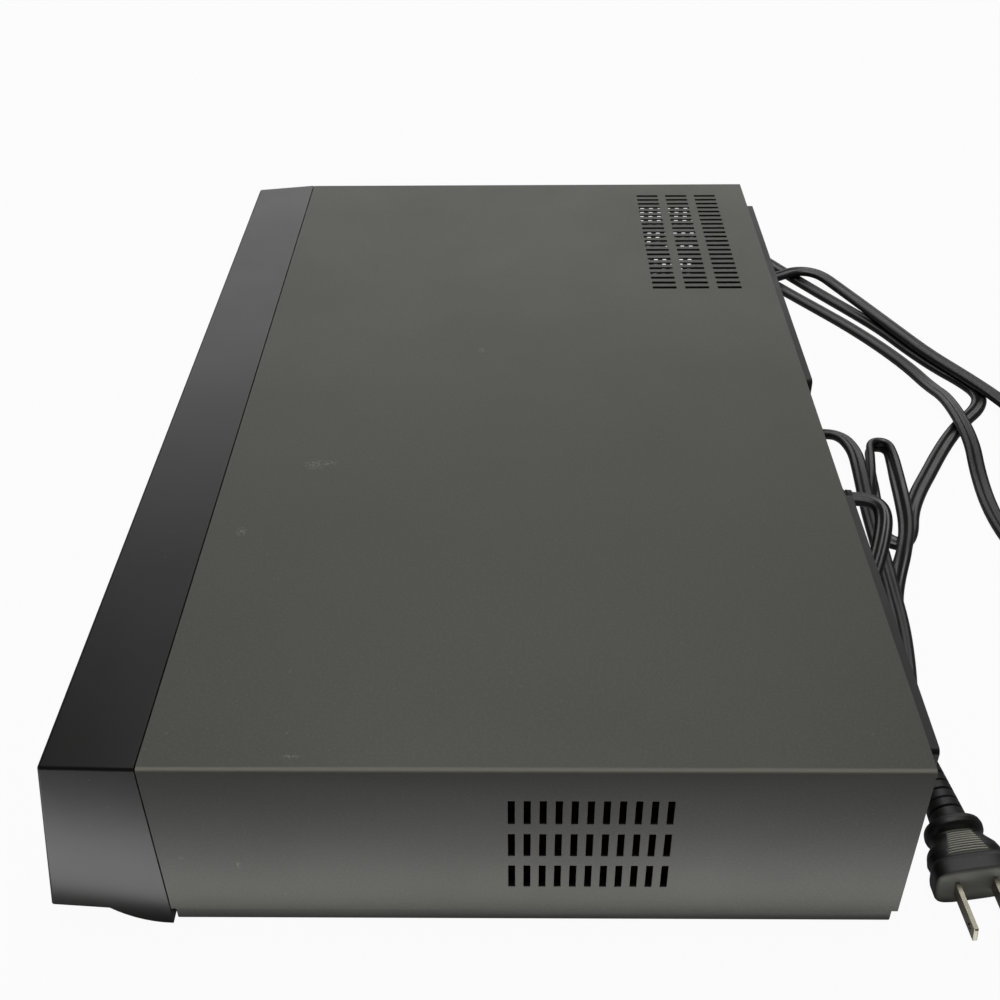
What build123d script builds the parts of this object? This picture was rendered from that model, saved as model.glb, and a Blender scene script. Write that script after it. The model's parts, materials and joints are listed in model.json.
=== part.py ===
from build123d import *
import os
from math import cos, pi, radians, sin, sqrt, tan

os.makedirs("parts", exist_ok=True)

# A full-width disc player with a sliding tray, its cord and plug. Millimetres, +Z up, front towards -Y.
# The origin is on the surface the player stands on, below the middle of the case with its rear sockets.

# Case
case_width = 430.0
case_height = 75.0
foot_height = 5.0
foot_radius = 11.0
cover_depth = 240.0
panel_depth = 41.0
panel_top_depth = 30.3
panel_top_drop = 1.55
panel_side_taper = 2.1
panel_bottom_rise = 4.8
panel_wall = 2.5
chin_depth = 21.0
chin_drop = 1.4
cover_sheet = 0.8
cover_bend = 1.6
strip_height = 6.2
strip_inset = 0.4
pan_sheet = 1.0
pan_bend = 2.0
pan_wall_top = 24.0
panel_sheet = 1.0
field_step = 3.7
jack_reach = 8.8
seam_gap = 0.4
fit_gap = 0.3
run_gap = 0.08

# Ventilation slots in the cover
slot_width = 2.2
top_slot_pitch = 5.11
top_slot_count = 22
top_slot_length = 11.5
top_row_pitch = 15.8
top_slot_from_side = 70.6
top_slot_from_rear = 37.6
side_slot_pitch = 4.9
side_slot_count = 11
side_slot_length = 10.7
side_row_pitch = 15.6
side_slot_z = 45.1
right_slot_from_rear = 102.4
left_slot_from_rear = 49.0

# Loader, with its places measured from its own centre line
loader_x = -90.0
loader_from_seam = 22.25
loader_length = 173.0
loader_floor_z = 14.0
loader_floor = 2.5
loader_wall = 2.5
tray_width = 140.0
tray_underside = 44.0
tray_thickness = 6.0
tray_plate = 4.5
tray_travel = 135.0
tray_clearance = 0.7
door_height = 18.4
door_z = 46.6
door_gap = 0.5
disc_radius = 60.0
disc_pocket_depth = 2.0
small_disc_radius = 40.0
small_pocket_depth = 0.9
spindle_from_front = 60.0
window_width = 36.0
rack_inset = 14.0

# Gear trains
module_tray = 1.0
module_sled = 0.8
backlash = 0.3
mesh_gap = 0.15
pinion_teeth = 20
wheel_teeth = 28
drive_teeth = 12
pulley_radius = 13.0
motor_pulley_radius = 4.0
belt_size = 1.4
sled_pinion_teeth = 12
sled_wheel_teeth = 24
sled_motor_teeth = 10
sled_travel = 35.0

# Boards, sockets and buttons
board_thickness = 1.6
board_z = 12.0
jack_radius = 4.15
jack_pitch_x = 28.0
jack_pitch_z = 20.0
jack_from_side = 119.0
jack_inner_step = 0.5
sleeve_wall = 1.0
jack_low_z = 28.0
button_travel = 0.8
button_gap = 0.35
button_proud = 0.9
display_board_from_seam = 10.25
board_from_panel = 5.7

# Cord and plug
lead_width = 7.9
lead_thickness = 3.9
relief_x = 14.0
relief_z = 30.0
relief_length = 24.0

y_seam = -(panel_depth + cover_depth + field_step + jack_reach) / 2 + panel_depth
y_back = y_seam + cover_depth
y_field = y_back + field_step
y_panel = y_back - 1.05
z_top = foot_height + case_height
z_pan = foot_height + pan_sheet
z_strip = foot_height + strip_height
z_cover = z_strip + fit_gap
half_width = case_width / 2
loader_front = y_seam - loader_from_seam
loader_rear = loader_front + loader_length
spindle_y = loader_front + spindle_from_front
tray_front = y_seam - panel_top_depth - 0.35
tray_rear = loader_rear - 5.0
window_front = spindle_y - window_width / 2
display_board_y = y_seam - display_board_from_seam
board_rear = y_panel - board_from_panel
face_low_z = foot_height + panel_bottom_rise
face_high_z = z_top - panel_top_drop
face_lean = (panel_depth - panel_top_depth) / (face_high_z - face_low_z)


def face_y(z):
    """The front face leans back as it rises: its depth at a height."""
    return y_seam - panel_depth + (z - face_low_z) * face_lean


def block(low, high, mode=Mode.ADD):
    """A box between two corners, in the part being built."""
    middle = [(a + b) / 2 for a, b in zip(low, high)]
    size = [b - a for a, b in zip(low, high)]
    with Locations(tuple(middle)):
        Box(*size, mode=mode)


def post(x, y, z0, z1, radius, mode=Mode.ADD):
    """An upright cylinder from z0 to z1, in the part being built."""
    with Locations((x, y, (z0 + z1) / 2)):
        Cylinder(radius, z1 - z0, mode=mode)


def front_rod(x, z, y0, y1, radius, mode=Mode.ADD):
    """A cylinder along Y from y0 to y1, in the part being built."""
    with Locations(Location((x, (y0 + y1) / 2, z), (90, 0, 0))):
        Cylinder(radius, y1 - y0, mode=mode)


def across_rod(y, z, x0, x1, radius, mode=Mode.ADD):
    """A cylinder along X from x0 to x1, in the part being built."""
    with Locations(Location(((x0 + x1) / 2, y, z), (0, 90, 0))):
        Cylinder(radius, x1 - x0, mode=mode)


def front_plane(y):
    """An upright plane at a depth, seen from the front, which extrudes towards the front."""
    return Plane(origin=(0, y, 0), x_dir=(1, 0, 0), z_dir=(0, -1, 0))


def side_plane(x):
    """An upright plane across the width, with Y to its right, which extrudes to +X."""
    return Plane(origin=(x, 0, 0), x_dir=(0, 1, 0), z_dir=(1, 0, 0))


def toothed_disc(teeth, module, start_angle=0.0):
    """A gear's outline in the sketch being drawn: a root disc with one tooth per pitch."""
    pitch_radius = teeth * module / 2
    half_pitch = pi * module / 4
    root = pitch_radius - 1.2 * module
    tip = pitch_radius + 0.9 * module
    Circle(root)
    with PolarLocations(0, teeth, start_angle=start_angle):
        Polygon(
            (root - 0.4 * module, -half_pitch * 1.15),
            (root, -half_pitch * 1.15),
            (pitch_radius, -half_pitch + backlash / 2),
            (tip, -half_pitch * 0.42),
            (tip, half_pitch * 0.42),
            (pitch_radius, half_pitch - backlash / 2),
            (root, half_pitch * 1.15),
            (root - 0.4 * module, half_pitch * 1.15),
            align=None,
        )


def rack_teeth(x_pitch, y_first, count, module, side):
    """Teeth of a straight rack in the sketch being drawn, facing +X when side is 1."""
    half_pitch = pi * module / 4
    slope = tan(radians(20)) * module
    for i in range(count):
        y = y_first + i * pi * module
        Polygon(
            (x_pitch - side * 1.25 * module, y - half_pitch - 1.25 * slope + backlash / 2),
            (x_pitch + side * 0.9 * module, y - half_pitch + 0.9 * slope + backlash / 2),
            (x_pitch + side * 0.9 * module, y + half_pitch - 0.9 * slope - backlash / 2),
            (x_pitch - side * 1.25 * module, y + half_pitch + 1.25 * slope - backlash / 2),
            align=None,
        )


def write(part, name):
    """Names a finished piece and writes it."""
    part.label = name
    export_step(part, f"parts/{name}.step")
    print(name, len(part.solids()), "solids")


# Chassis pan, bent up at both sides, with feet
pan_side = half_width - strip_inset
pan_inner = half_width - cover_sheet - fit_gap
y_pan_front = y_seam + 1.6
y_pan_rear = y_back - 1.8
with BuildPart() as bottom_chassis:
    with BuildSketch(front_plane(y_pan_rear)):
        with BuildLine():
            Polyline(
                (0, foot_height),
                (pan_side, foot_height),
                (pan_side, z_strip),
                (pan_inner, z_strip),
                (pan_inner, pan_wall_top),
                (pan_inner - pan_sheet, pan_wall_top),
                (pan_inner - pan_sheet, z_pan),
                (0, z_pan),
                close=True,
            )
        make_face()
        mirror(about=Plane.YZ)
    extrude(amount=y_pan_rear - y_pan_front)
    fillet(
        bottom_chassis.edges()
        .filter_by(Axis.Y)
        .filter_by(lambda e: abs(e.center().X) > pan_side - 0.1 and e.center().Z < z_pan),
        pan_bend,
    )
    # Turned-up front lip, then pressed ribs and floor slots
    block((-pan_inner + 2, y_pan_front, z_pan), (pan_inner - 2, y_pan_front + pan_sheet, loader_floor_z - 2))
    for x in (-half_width + 20, 0.0, half_width - 20):
        block((x - 4, y_pan_front + 14, z_pan), (x + 4, y_pan_rear - 12, z_pan + 1.5))
    with BuildSketch(Plane.XY.offset(foot_height)):
        with Locations((-120, 92), (105, 70)):
            with GridLocations(9, 24, 14, 2):
                Rectangle(3, 18)
    extrude(amount=pan_sheet, mode=Mode.SUBTRACT)
write(bottom_chassis.part, "bottom_chassis")

foot_places = [(side * (half_width - 37), y) for side in (-1, 1) for y in (y_seam + 21.75, y_back - 26.25)]
with BuildPart() as feet:
    with BuildSketch(Plane.XY):
        with Locations(*foot_places):
            Circle(foot_radius - 1.0)
    with BuildSketch(Plane.XY.offset(foot_height)):
        with Locations(*foot_places):
            Circle(foot_radius)
    loft_pairs = list(zip(feet.pending_faces[:4], feet.pending_faces[4:]))
    feet.pending_faces.clear()
    for lower, upper in loft_pairs:
        loft([lower, upper])
    for x, y in foot_places:
        post(x, y, 0, 1.2, 3.0, mode=Mode.SUBTRACT)
write(feet.part, "feet")

# Rear panel: a sheet with two pressed-out fields and the recess between them for the cord
field_low = 15.0
field_high = z_top - 2.2
jack_x = half_width - jack_from_side
left_field = (-half_width + 24, -8.0)
right_field = (jack_x - 22, half_width - 10)
jack_places = [
    (jack_x + i * jack_pitch_x, jack_low_z + j * jack_pitch_z) for i in range(4) for j in range(2)
]
s_video_place = jack_places.pop(6)
tab_places = [(-half_width + 12, z_top - 10), (45.0, z_top - 10)]
rear_screw_places = [(-half_width + 12, 22.0), (33.0, 58.0), (-4.0, 18.0), (half_width - 7, 22.0)]
with BuildPart() as rear_panel:
    block(
        (-pan_inner + 1.5, y_panel - panel_sheet, z_pan + 0.1),
        (pan_inner - 1.5, y_panel, z_top - cover_sheet - 0.4),
    )
    for x0, x1 in (left_field, right_field):
        block((x0, y_panel, field_low), (x1, y_field, field_high))
        block(
            (x0 + panel_sheet, y_panel - panel_sheet, field_low + panel_sheet),
            (x1 - panel_sheet, y_field - panel_sheet, field_high - panel_sheet),
            mode=Mode.SUBTRACT,
        )
    fillet(
        rear_panel.edges().filter_by(Axis.Y).filter_by(lambda e: e.center().Y > y_panel + 0.5 and e.length > 3),
        2.0,
    )
    for x, z in jack_places:
        front_rod(x, z, y_field - 2, y_field + 1, jack_radius + 0.35, mode=Mode.SUBTRACT)
    x, z = s_video_place
    front_rod(x, z, y_field - 2, y_field + 1, 6.4, mode=Mode.SUBTRACT)
    front_rod(relief_x, relief_z, y_panel - 2, y_panel + 1, 6.3, mode=Mode.SUBTRACT)
    for x, z in rear_screw_places + tab_places:
        front_rod(x, z, y_panel - 2, y_panel + 1, 1.6, mode=Mode.SUBTRACT)
    with BuildSketch(front_plane(y_field + 1)):
        with Locations((-110, 48)):
            with GridLocations(6, 22, 18, 2):
                Rectangle(2.4, 16)
    extrude(amount=panel_sheet + 2, mode=Mode.SUBTRACT)
write(rear_panel.part, "rear_panel")

# Top cover: one sheet bent over both sides, slotted, with two screw tabs at the rear
tab_half = 6.0
with BuildPart() as top_cover:
    block((-half_width, y_seam + seam_gap / 2, z_cover), (half_width, y_back, z_top))
    fillet(top_cover.edges().filter_by(Axis.Y).group_by(Axis.Z)[-1], cover_bend)
    block(
        (-half_width + cover_sheet, y_seam, z_cover - 1),
        (half_width - cover_sheet, y_back + 1, z_top - cover_sheet),
        mode=Mode.SUBTRACT,
    )
    inner_corners = top_cover.edges().filter_by(Axis.Y).filter_by(
        lambda e: abs(e.center().Z - z_top + cover_sheet) < 0.01
    )
    fillet(inner_corners, cover_bend - cover_sheet)
    for x, z in tab_places:
        block((x - tab_half, y_panel + 0.2, z - 5), (x + tab_half, y_back, z_top - cover_sheet / 2))
        front_rod(x, z, y_panel, y_back + 1, 1.7, mode=Mode.SUBTRACT)
    with BuildSketch(Plane.XY.offset(z_top)):
        with Locations((top_slot_from_side - half_width, y_back - top_slot_from_rear)):
            with GridLocations(top_slot_pitch, top_row_pitch, top_slot_count, 3):
                Rectangle(slot_width, top_slot_length)
    extrude(amount=-2 * cover_sheet, mode=Mode.SUBTRACT)
    for x, from_rear in ((half_width, right_slot_from_rear), (-half_width, left_slot_from_rear)):
        with BuildSketch(side_plane(x - 1)):
            with Locations((y_back - from_rear, side_slot_z)):
                with GridLocations(side_slot_pitch, side_row_pitch, side_slot_count, 3):
                    Rectangle(slot_width, side_slot_length)
        extrude(amount=2, mode=Mode.SUBTRACT)
write(top_cover.part, "top_cover")

with BuildPart() as cover_screws:
    for x, z in tab_places:
        front_rod(x, z, y_back + 0.02, y_back + 1.9, 3.1)
        front_rod(x, z, y_panel - 6, y_back + 0.1, 1.5)
    fillet(cover_screws.edges().filter_by(lambda e: e.center().Y > y_back + 1.8), 0.8)
write(cover_screws.part, "cover_screws")

with BuildPart() as rear_screws:
    for x, z in rear_screw_places:
        front_rod(x, z, y_panel + 0.02, y_panel + 1.9, 2.9)
        front_rod(x, z, y_panel - 6, y_panel + 0.1, 1.45)
    fillet(rear_screws.edges().filter_by(lambda e: e.center().Y > y_panel + 1.8), 0.8)
write(rear_screws.part, "rear_screws")

# Front panel: a tapered shell that leans back, with a chin below and openings for tray, window and buttons
tray_slot = (tray_width + 2 * (door_gap + 0.9), door_height + 2 * door_gap)
window_x = (4.0, half_width - 99)
window_z = (43.0, 67.0)
window_lip = 4.0
window_sheet = 1.8
board_ledges = (window_x[0] + 6, window_x[1] - 6, half_width - 15)
board_ledge_z = z_top - 6.5
button_specs = {
    "open": (26.0, 30.0, 18.0, 6.0),
    "power": (half_width - 23, 38.0, 12.0, 12.0),
    "play": (half_width - 67, 60.0, 30.0, 9.0),
    "stop": (half_width - 35, 60.0, 14.0, 9.0),
    "pause": (half_width - 17, 60.0, 10.0, 9.0),
    "skip_back": (half_width - 75, 38.0, 15.0, 7.0),
    "skip_forward": (half_width - 53, 38.0, 15.0, 7.0),
}


def panel_solid(inset):
    """The front panel's outer form, or the same form smaller by a wall, open towards the rear."""
    side_x = half_width - inset
    y_front_top = y_seam - panel_top_depth + inset
    y_front_low = y_seam - panel_depth + inset
    rear = y_seam - (seam_gap / 2 if inset == 0 else -1)
    with BuildPart() as form:
        with BuildSketch(side_plane(-half_width)):
            with BuildLine():
                Polyline(
                    (y_seam - chin_depth + inset, face_low_z + inset),
                    (y_front_low, face_low_z + inset),
                    (y_front_top, face_high_z - inset),
                    (rear, z_top - inset),
                    (rear, foot_height - chin_drop + inset),
                )
                ThreePointArc(
                    (rear, foot_height - chin_drop + inset),
                    (y_seam - 13.5 + inset / 2, foot_height + 0.6 + inset),
                    (y_seam - chin_depth + inset, face_low_z + inset),
                )
            make_face()
        extrude(amount=case_width)
        with BuildSketch(Plane.XY):
            with BuildLine():
                Polyline(
                    (-side_x, y_seam + 5),
                    (-side_x, y_seam),
                    (-side_x + panel_side_taper * panel_depth / panel_top_depth, y_seam - panel_depth),
                    (side_x - panel_side_taper * panel_depth / panel_top_depth, y_seam - panel_depth),
                    (side_x, y_seam),
                    (side_x, y_seam + 5),
                    close=True,
                )
            make_face()
        extrude(amount=z_top, mode=Mode.INTERSECT)
    return form.part


with BuildPart() as front_panel:
    add(panel_solid(0))
    fillet(
        front_panel.edges().filter_by(Axis.X).sort_by(Axis.Z)[-2:].sort_by(Axis.Y)[:1],
        1.4,
    )
    front_corners = front_panel.edges().filter_by(
        lambda e: e.center().Y < y_seam - 30 and abs(e.center().X) > half_width - 6 and e.length > 40
    )
    fillet(front_corners, 1.2)
    add(panel_solid(panel_wall), mode=Mode.SUBTRACT)
    with BuildSketch(front_plane(y_seam)):
        with Locations((loader_x, door_z)):
            Rectangle(*tray_slot)
        with Locations((sum(window_x) / 2, sum(window_z) / 2)):
            Rectangle(window_x[1] - window_x[0] - 2 * window_lip, window_z[1] - window_z[0] - 2 * window_lip)
        for x, z, width, height in button_specs.values():
            with Locations((x, z)):
                Rectangle(width + 2 * button_gap, height + 2 * button_gap)
    extrude(amount=panel_depth + 10, mode=Mode.SUBTRACT)
    with BuildSketch(side_plane(window_x[0])):
        Polygon(
            (face_y(window_z[0]) - 2, window_z[0]),
            (face_y(window_z[1]) - 2, window_z[1]),
            (face_y(window_z[1]) + window_sheet, window_z[1]),
            (face_y(window_z[0]) + window_sheet, window_z[0]),
            align=None,
        )
    extrude(amount=window_x[1] - window_x[0], mode=Mode.SUBTRACT)
    # Ribs inside the shell, and the ledge that the display board is screwed to
    for x in (-half_width + 10, -half_width + 43, half_width - 9):
        block((x - 1, y_seam - 26, z_pan + 1), (x + 1, y_seam - 2, z_top - 2))
    for x in board_ledges:
        block((x - 2, display_board_y - 15, z_top - 10), (x + 2, display_board_y - 0.1, z_top - 2))
write(front_panel.part, "front_panel")

with BuildPart() as display_window:
    with BuildSketch(side_plane(window_x[0] + 0.15)):
        Polygon(
            (face_y(window_z[0] + 0.15), window_z[0] + 0.15),
            (face_y(window_z[1] - 0.15), window_z[1] - 0.15),
            (face_y(window_z[1] - 0.15) + window_sheet - 0.05, window_z[1] - 0.15),
            (face_y(window_z[0] + 0.15) + window_sheet - 0.05, window_z[0] + 0.15),
            align=None,
        )
    extrude(amount=window_x[1] - window_x[0] - 0.3)
write(display_window.part, "display_window")

# Buttons: sloped caps with a stop flange behind the wall and a stem that reaches its switch
switch_depth = 3.6
switch_pin = 0.7
stem_half = 1.6
for name, (x, z, width, height) in button_specs.items():
    low = z - height / 2
    high = z + height / 2
    flange = 1.2
    y_flange = panel_wall + fit_gap
    y_switch = display_board_y - switch_depth - switch_pin
    with BuildPart() as button:
        with BuildSketch(side_plane(x)):
            Polygon(
                (face_y(low) - button_proud, low),
                (face_y(high) - button_proud, high),
                (face_y(high) + y_flange + 0.5, high),
                (face_y(low) + y_flange + 0.5, low),
                align=None,
            )
        extrude(amount=width / 2, both=True)
        front_face = button.faces().sort_by(Axis.Y)[0]
        fillet(front_face.edges(), 0.5)
        with BuildSketch(side_plane(x)):
            Polygon(
                (face_y(low - 1) + y_flange, low - 1),
                (face_y(high + 1) + y_flange, high + 1),
                (face_y(high + 1) + y_flange + flange, high + 1),
                (face_y(low - 1) + y_flange + flange, low - 1),
                align=None,
            )
        extrude(amount=width / 2 + 1, both=True)
        block(
            (x - stem_half, face_y(z) + y_flange, z - stem_half),
            (x + stem_half, y_switch - button_travel - 0.1, z + stem_half),
        )
    write(button.part, f"{name}_button")

# Display board with its tube and one switch behind each button
with BuildPart() as display_board:
    block((-4, display_board_y, 16), (half_width - 11, display_board_y + board_thickness, z_top - 4))
    for x in board_ledges:
        front_rod(x, board_ledge_z, display_board_y - 1, display_board_y + 3, 1.6, mode=Mode.SUBTRACT)
write(display_board.part, "display_board")

with BuildPart() as display_tube:
    block(
        (window_x[0] + 8, display_board_y - 11, window_z[0] + 3),
        (window_x[1] - 8, display_board_y - 4, window_z[1] - 3),
    )
    fillet(display_tube.edges().filter_by(Axis.X), 1.0)
    for x in (window_x[0] + 14, window_x[1] - 14):
        block((x - 1.5, display_board_y - 5, window_z[0] + 4), (x + 1.5, display_board_y - 0.02, window_z[1] - 4))
write(display_tube.part, "display_tube")

with BuildPart() as tact_switches:
    for x, z, _, _ in button_specs.values():
        block((x - 3, display_board_y - switch_depth, z - 3), (x + 3, display_board_y - 0.02, z + 3))
        front_rod(x, z, display_board_y - switch_depth - switch_pin, display_board_y - 1, 1.7)
write(tact_switches.part, "tact_switches")

# Loader frame: a moulded tub with rails for the tray, a floor opening and pivot ears for the traverse
rail_x = tray_width / 2 + tray_clearance
wall_x = rail_x + loader_wall
loader_top = tray_underside + tray_thickness + 1.0
floor_top = loader_floor_z + loader_floor
pinion_y = loader_front + 19
rack_face_x = rack_inset - tray_width / 2
pinion_x = rack_face_x + pinion_teeth * module_tray / 2 + mesh_gap
drive_x = pinion_x + (wheel_teeth + drive_teeth) * module_tray / 2 + mesh_gap
motor_x = drive_x + 43.0
motor_radius = 10.5
hinge_y = loader_rear - 25
hinge_z = 37.0
hinge_radius = 2.0
opening_x = (-46.0, 62.0)
opening_y = (loader_front + 35, loader_rear - 17)
gear_axle = 2.0
bridge_z = 56.0
bridge_sheet = 1.2
bridge_half = 17.0
ear_reach = 6.5
mount_ears = [
    (-wall_x - 3, loader_front + 30),
    (-wall_x - 3, loader_rear - 15),
    (wall_x + 3, loader_front + 40),
    (wall_x + 3, loader_rear - 15),
]
with BuildPart() as loader_frame:
    block((loader_x - wall_x, loader_front, loader_floor_z), (loader_x + wall_x, loader_rear, floor_top))
    for side in (-1, 1):
        inner = loader_x + side * rail_x
        outer = loader_x + side * wall_x
        ledge = loader_x + side * (rail_x - 3.5)
        low_x, high_x = sorted((inner, outer))
        block((low_x, loader_front, loader_floor_z), (high_x, loader_rear, loader_top))
        low_x, high_x = sorted((ledge, outer))
        block((low_x, loader_front, tray_underside - 2.4), (high_x, loader_rear, tray_underside - 0.4))
        for y in (loader_front + 10, spindle_y + 48, loader_rear - 11):
            lip = loader_x + side * (rail_x - 2.2)
            low_x, high_x = sorted((lip, outer))
            block((low_x, y - 6, loader_top - 0.6), (high_x, y + 6, loader_top + 1.0))
        low_x, high_x = sorted((inner, loader_x + side * (wall_x + ear_reach)))
        block((low_x, spindle_y - 6, loader_top - 9), (high_x, spindle_y + 6, loader_top))
        ear_x = loader_x + side * (wall_x + 3.4)
        post(ear_x, spindle_y, loader_top - 8, loader_top + 1, 1.2, mode=Mode.SUBTRACT)
    block((loader_x - wall_x, loader_front, loader_floor_z), (loader_x + wall_x, loader_front + 2.5, 34.5))
    block((loader_x - wall_x, loader_rear - 2.5, loader_floor_z), (loader_x + wall_x, loader_rear, 43))
    block(
        (loader_x + opening_x[0], opening_y[0], loader_floor_z - 1),
        (loader_x + opening_x[1], opening_y[1], floor_top + 1),
        mode=Mode.SUBTRACT,
    )
    for x, y in mount_ears:
        post(loader_x + x, y, loader_floor_z, floor_top, 4.5)
        post(loader_x + x, y, loader_floor_z - 1, floor_top + 1, 1.7, mode=Mode.SUBTRACT)
    # Pivot ears for the traverse
    for x0 in (-50.5, 63.0):
        block((loader_x + x0, hinge_y - 5, loader_floor_z), (loader_x + x0 + 3, hinge_y + 5, hinge_z + 4.5))
    across_rod(hinge_y, hinge_z, loader_x - 52, loader_x + 67, hinge_radius + run_gap, mode=Mode.SUBTRACT)
    # Axles of the two gears and the socket that holds the motor
    post(loader_x + pinion_x, pinion_y, floor_top - 0.5, 43.5, gear_axle)
    post(loader_x + drive_x, pinion_y, floor_top - 0.5, 37.0, gear_axle)
    x = loader_x + motor_x
    post(x, pinion_y, loader_floor_z, floor_top + 3, motor_radius + 2)
    post(x, pinion_y, loader_floor_z - 1, floor_top + 4, motor_radius + 0.05, mode=Mode.SUBTRACT)
write(loader_frame.part, "loader_frame")

# Bridge over the tray, with its two screws, and the clamper that hangs in it
clamper_hole = 12.3
clamper_boss = 11.8
clamper_flange = 16.0
clamp_low = 54.7
with BuildPart() as clamp_bridge:
    block(
        (loader_x - wall_x - ear_reach, spindle_y - 6, loader_top),
        (loader_x + wall_x + ear_reach, spindle_y + 6, loader_top + bridge_sheet),
    )
    block(
        (loader_x - rail_x, spindle_y - 10, loader_top - 1),
        (loader_x + rail_x, spindle_y + 10, loader_top + 4),
        mode=Mode.SUBTRACT,
    )
    for side in (-1, 1):
        low_x, high_x = sorted((loader_x + side * rail_x, loader_x + side * (rail_x + bridge_sheet)))
        block((low_x, spindle_y - 6, loader_top), (high_x, spindle_y + 6, bridge_z + bridge_sheet))
        ear_x = loader_x + side * (wall_x + 3.4)
        post(ear_x, spindle_y, loader_top - 1, loader_top + 3, 1.7, mode=Mode.SUBTRACT)
    block(
        (loader_x - rail_x - bridge_sheet, spindle_y - bridge_half, bridge_z),
        (loader_x + rail_x + bridge_sheet, spindle_y + bridge_half, bridge_z + bridge_sheet),
    )
    bridge_corners = clamp_bridge.edges().filter_by(Axis.Z).filter_by(
        lambda e: abs(e.center().Y - spindle_y) > bridge_half - 1
    )
    fillet(bridge_corners, 6)
    post(loader_x, spindle_y, bridge_z - 1, bridge_z + 3, clamper_hole, mode=Mode.SUBTRACT)
write(clamp_bridge.part, "clamp_bridge")

with BuildPart() as clamper:
    with BuildSketch(Plane(origin=(loader_x, spindle_y, 0), x_dir=(1, 0, 0), z_dir=(0, -1, 0))):
        with BuildLine():
            Polyline(
                (0, clamp_low + 1.6),
                (7.6, clamp_low + 0.6),
                (8.0, clamp_low),
                (clamper_boss, clamp_low),
                (clamper_boss, bridge_z + bridge_sheet + 0.25),
                (clamper_flange, bridge_z + bridge_sheet + 0.25),
                (clamper_flange, bridge_z + bridge_sheet + 2.0),
                (9.0, bridge_z + bridge_sheet + 2.6),
                (0, bridge_z + bridge_sheet + 2.6),
                close=True,
            )
        make_face()
    revolve(axis=Axis((loader_x, spindle_y, 0), (0, 0, 1)))
write(clamper.part, "clamper")

loader_screw_places = [(loader_x + side * (wall_x + 3.4), spindle_y) for side in (-1, 1)]
with BuildPart() as loader_screws:
    for x, y in loader_screw_places:
        post(x, y, loader_top + bridge_sheet + 0.02, loader_top + bridge_sheet + 1.8, 2.8)
        post(x, y, loader_top - 7, loader_top + bridge_sheet + 0.1, 1.15)
    for x, y in mount_ears:
        post(loader_x + x, y, floor_top + 0.02, floor_top + 1.8, 3.0)
        post(loader_x + x, y, board_z - 5.5, floor_top + 0.1, 1.4)
write(loader_screws.part, "loader_screws")

# Tray drive: motor, belt, drive pulley with its pinion, and the wheel with the pinion that moves the rack
pulley_low = 22.0
pulley_high = 27.0
belt_z = (pulley_low + pulley_high) / 2
groove_depth = 1.5
mesh_low = 31.0
mesh_high = 35.0
half_tooth = 180.0 / drive_teeth
with BuildPart() as tray_motor:
    post(loader_x + motor_x, pinion_y, 12.4, 21.2, motor_radius)
    post(loader_x + motor_x, pinion_y, 21.1, 21.8, 3.0)
    post(loader_x + motor_x, pinion_y, 21.1, 28.0, 1.0)
write(tray_motor.part, "tray_motor")


def pulley_profile(radius, bore, hub):
    """Half section of a grooved pulley, in the sketch being drawn, with the radius to the right."""
    Polygon(
        (bore, pulley_low),
        (radius, pulley_low),
        (radius, pulley_low + 1.0),
        (radius - groove_depth, belt_z - 0.9),
        (radius - groove_depth, belt_z + 0.9),
        (radius, pulley_high - 1.0),
        (radius, pulley_high),
        (hub, pulley_high),
        (hub, pulley_high + 0.6),
        (bore, pulley_high + 0.6),
        align=None,
    )


with BuildPart() as motor_pulley:
    with BuildSketch(Plane(origin=(loader_x + motor_x, pinion_y, 0), x_dir=(1, 0, 0), z_dir=(0, -1, 0))):
        pulley_profile(motor_pulley_radius, 1.0 + run_gap, motor_pulley_radius - 1)
    revolve(axis=Axis((loader_x + motor_x, pinion_y, 0), (0, 0, 1)))
write(motor_pulley.part, "motor_pulley")

with BuildPart() as pulley_gear:
    with BuildSketch(Plane(origin=(loader_x + drive_x, pinion_y, 0), x_dir=(1, 0, 0), z_dir=(0, -1, 0))):
        pulley_profile(pulley_radius, gear_axle + run_gap, 4.6)
    revolve(axis=Axis((loader_x + drive_x, pinion_y, 0), (0, 0, 1)))
    with BuildSketch(Plane(origin=(loader_x + drive_x, pinion_y, pulley_high))):
        toothed_disc(drive_teeth, module_tray, start_angle=0)
        Circle(gear_axle + run_gap, mode=Mode.SUBTRACT)
    extrude(amount=mesh_high - pulley_high)
write(pulley_gear.part, "pulley_gear")

wheel_start = 180.0 / wheel_teeth
with BuildPart() as tray_gear:
    with BuildSketch(Plane(origin=(loader_x + pinion_x, pinion_y, mesh_low))):
        toothed_disc(wheel_teeth, module_tray, start_angle=wheel_start)
        Circle(gear_axle + run_gap, mode=Mode.SUBTRACT)
    extrude(amount=mesh_high - mesh_low)
    with BuildSketch(Plane(origin=(loader_x + pinion_x, pinion_y, mesh_high))):
        toothed_disc(pinion_teeth, module_tray, start_angle=0)
        Circle(gear_axle + run_gap, mode=Mode.SUBTRACT)
    extrude(amount=43.2 - mesh_high)
write(tray_gear.part, "tray_gear")

belt_inner = (pulley_radius - groove_depth + 0.1, motor_pulley_radius - groove_depth + 0.1)
with BuildPart() as drive_belt:
    for grow, mode in ((belt_size, Mode.ADD), (0.0, Mode.SUBTRACT)):
        with BuildSketch(Plane.XY.offset(belt_z - belt_size / 2)):
            with Locations((loader_x + drive_x, pinion_y)):
                Circle(belt_inner[0] + grow)
            with Locations((loader_x + motor_x, pinion_y)):
                Circle(belt_inner[1] + grow)
            make_hull()
        extrude(amount=belt_size, mode=mode)
write(drive_belt.part, "drive_belt")

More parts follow.
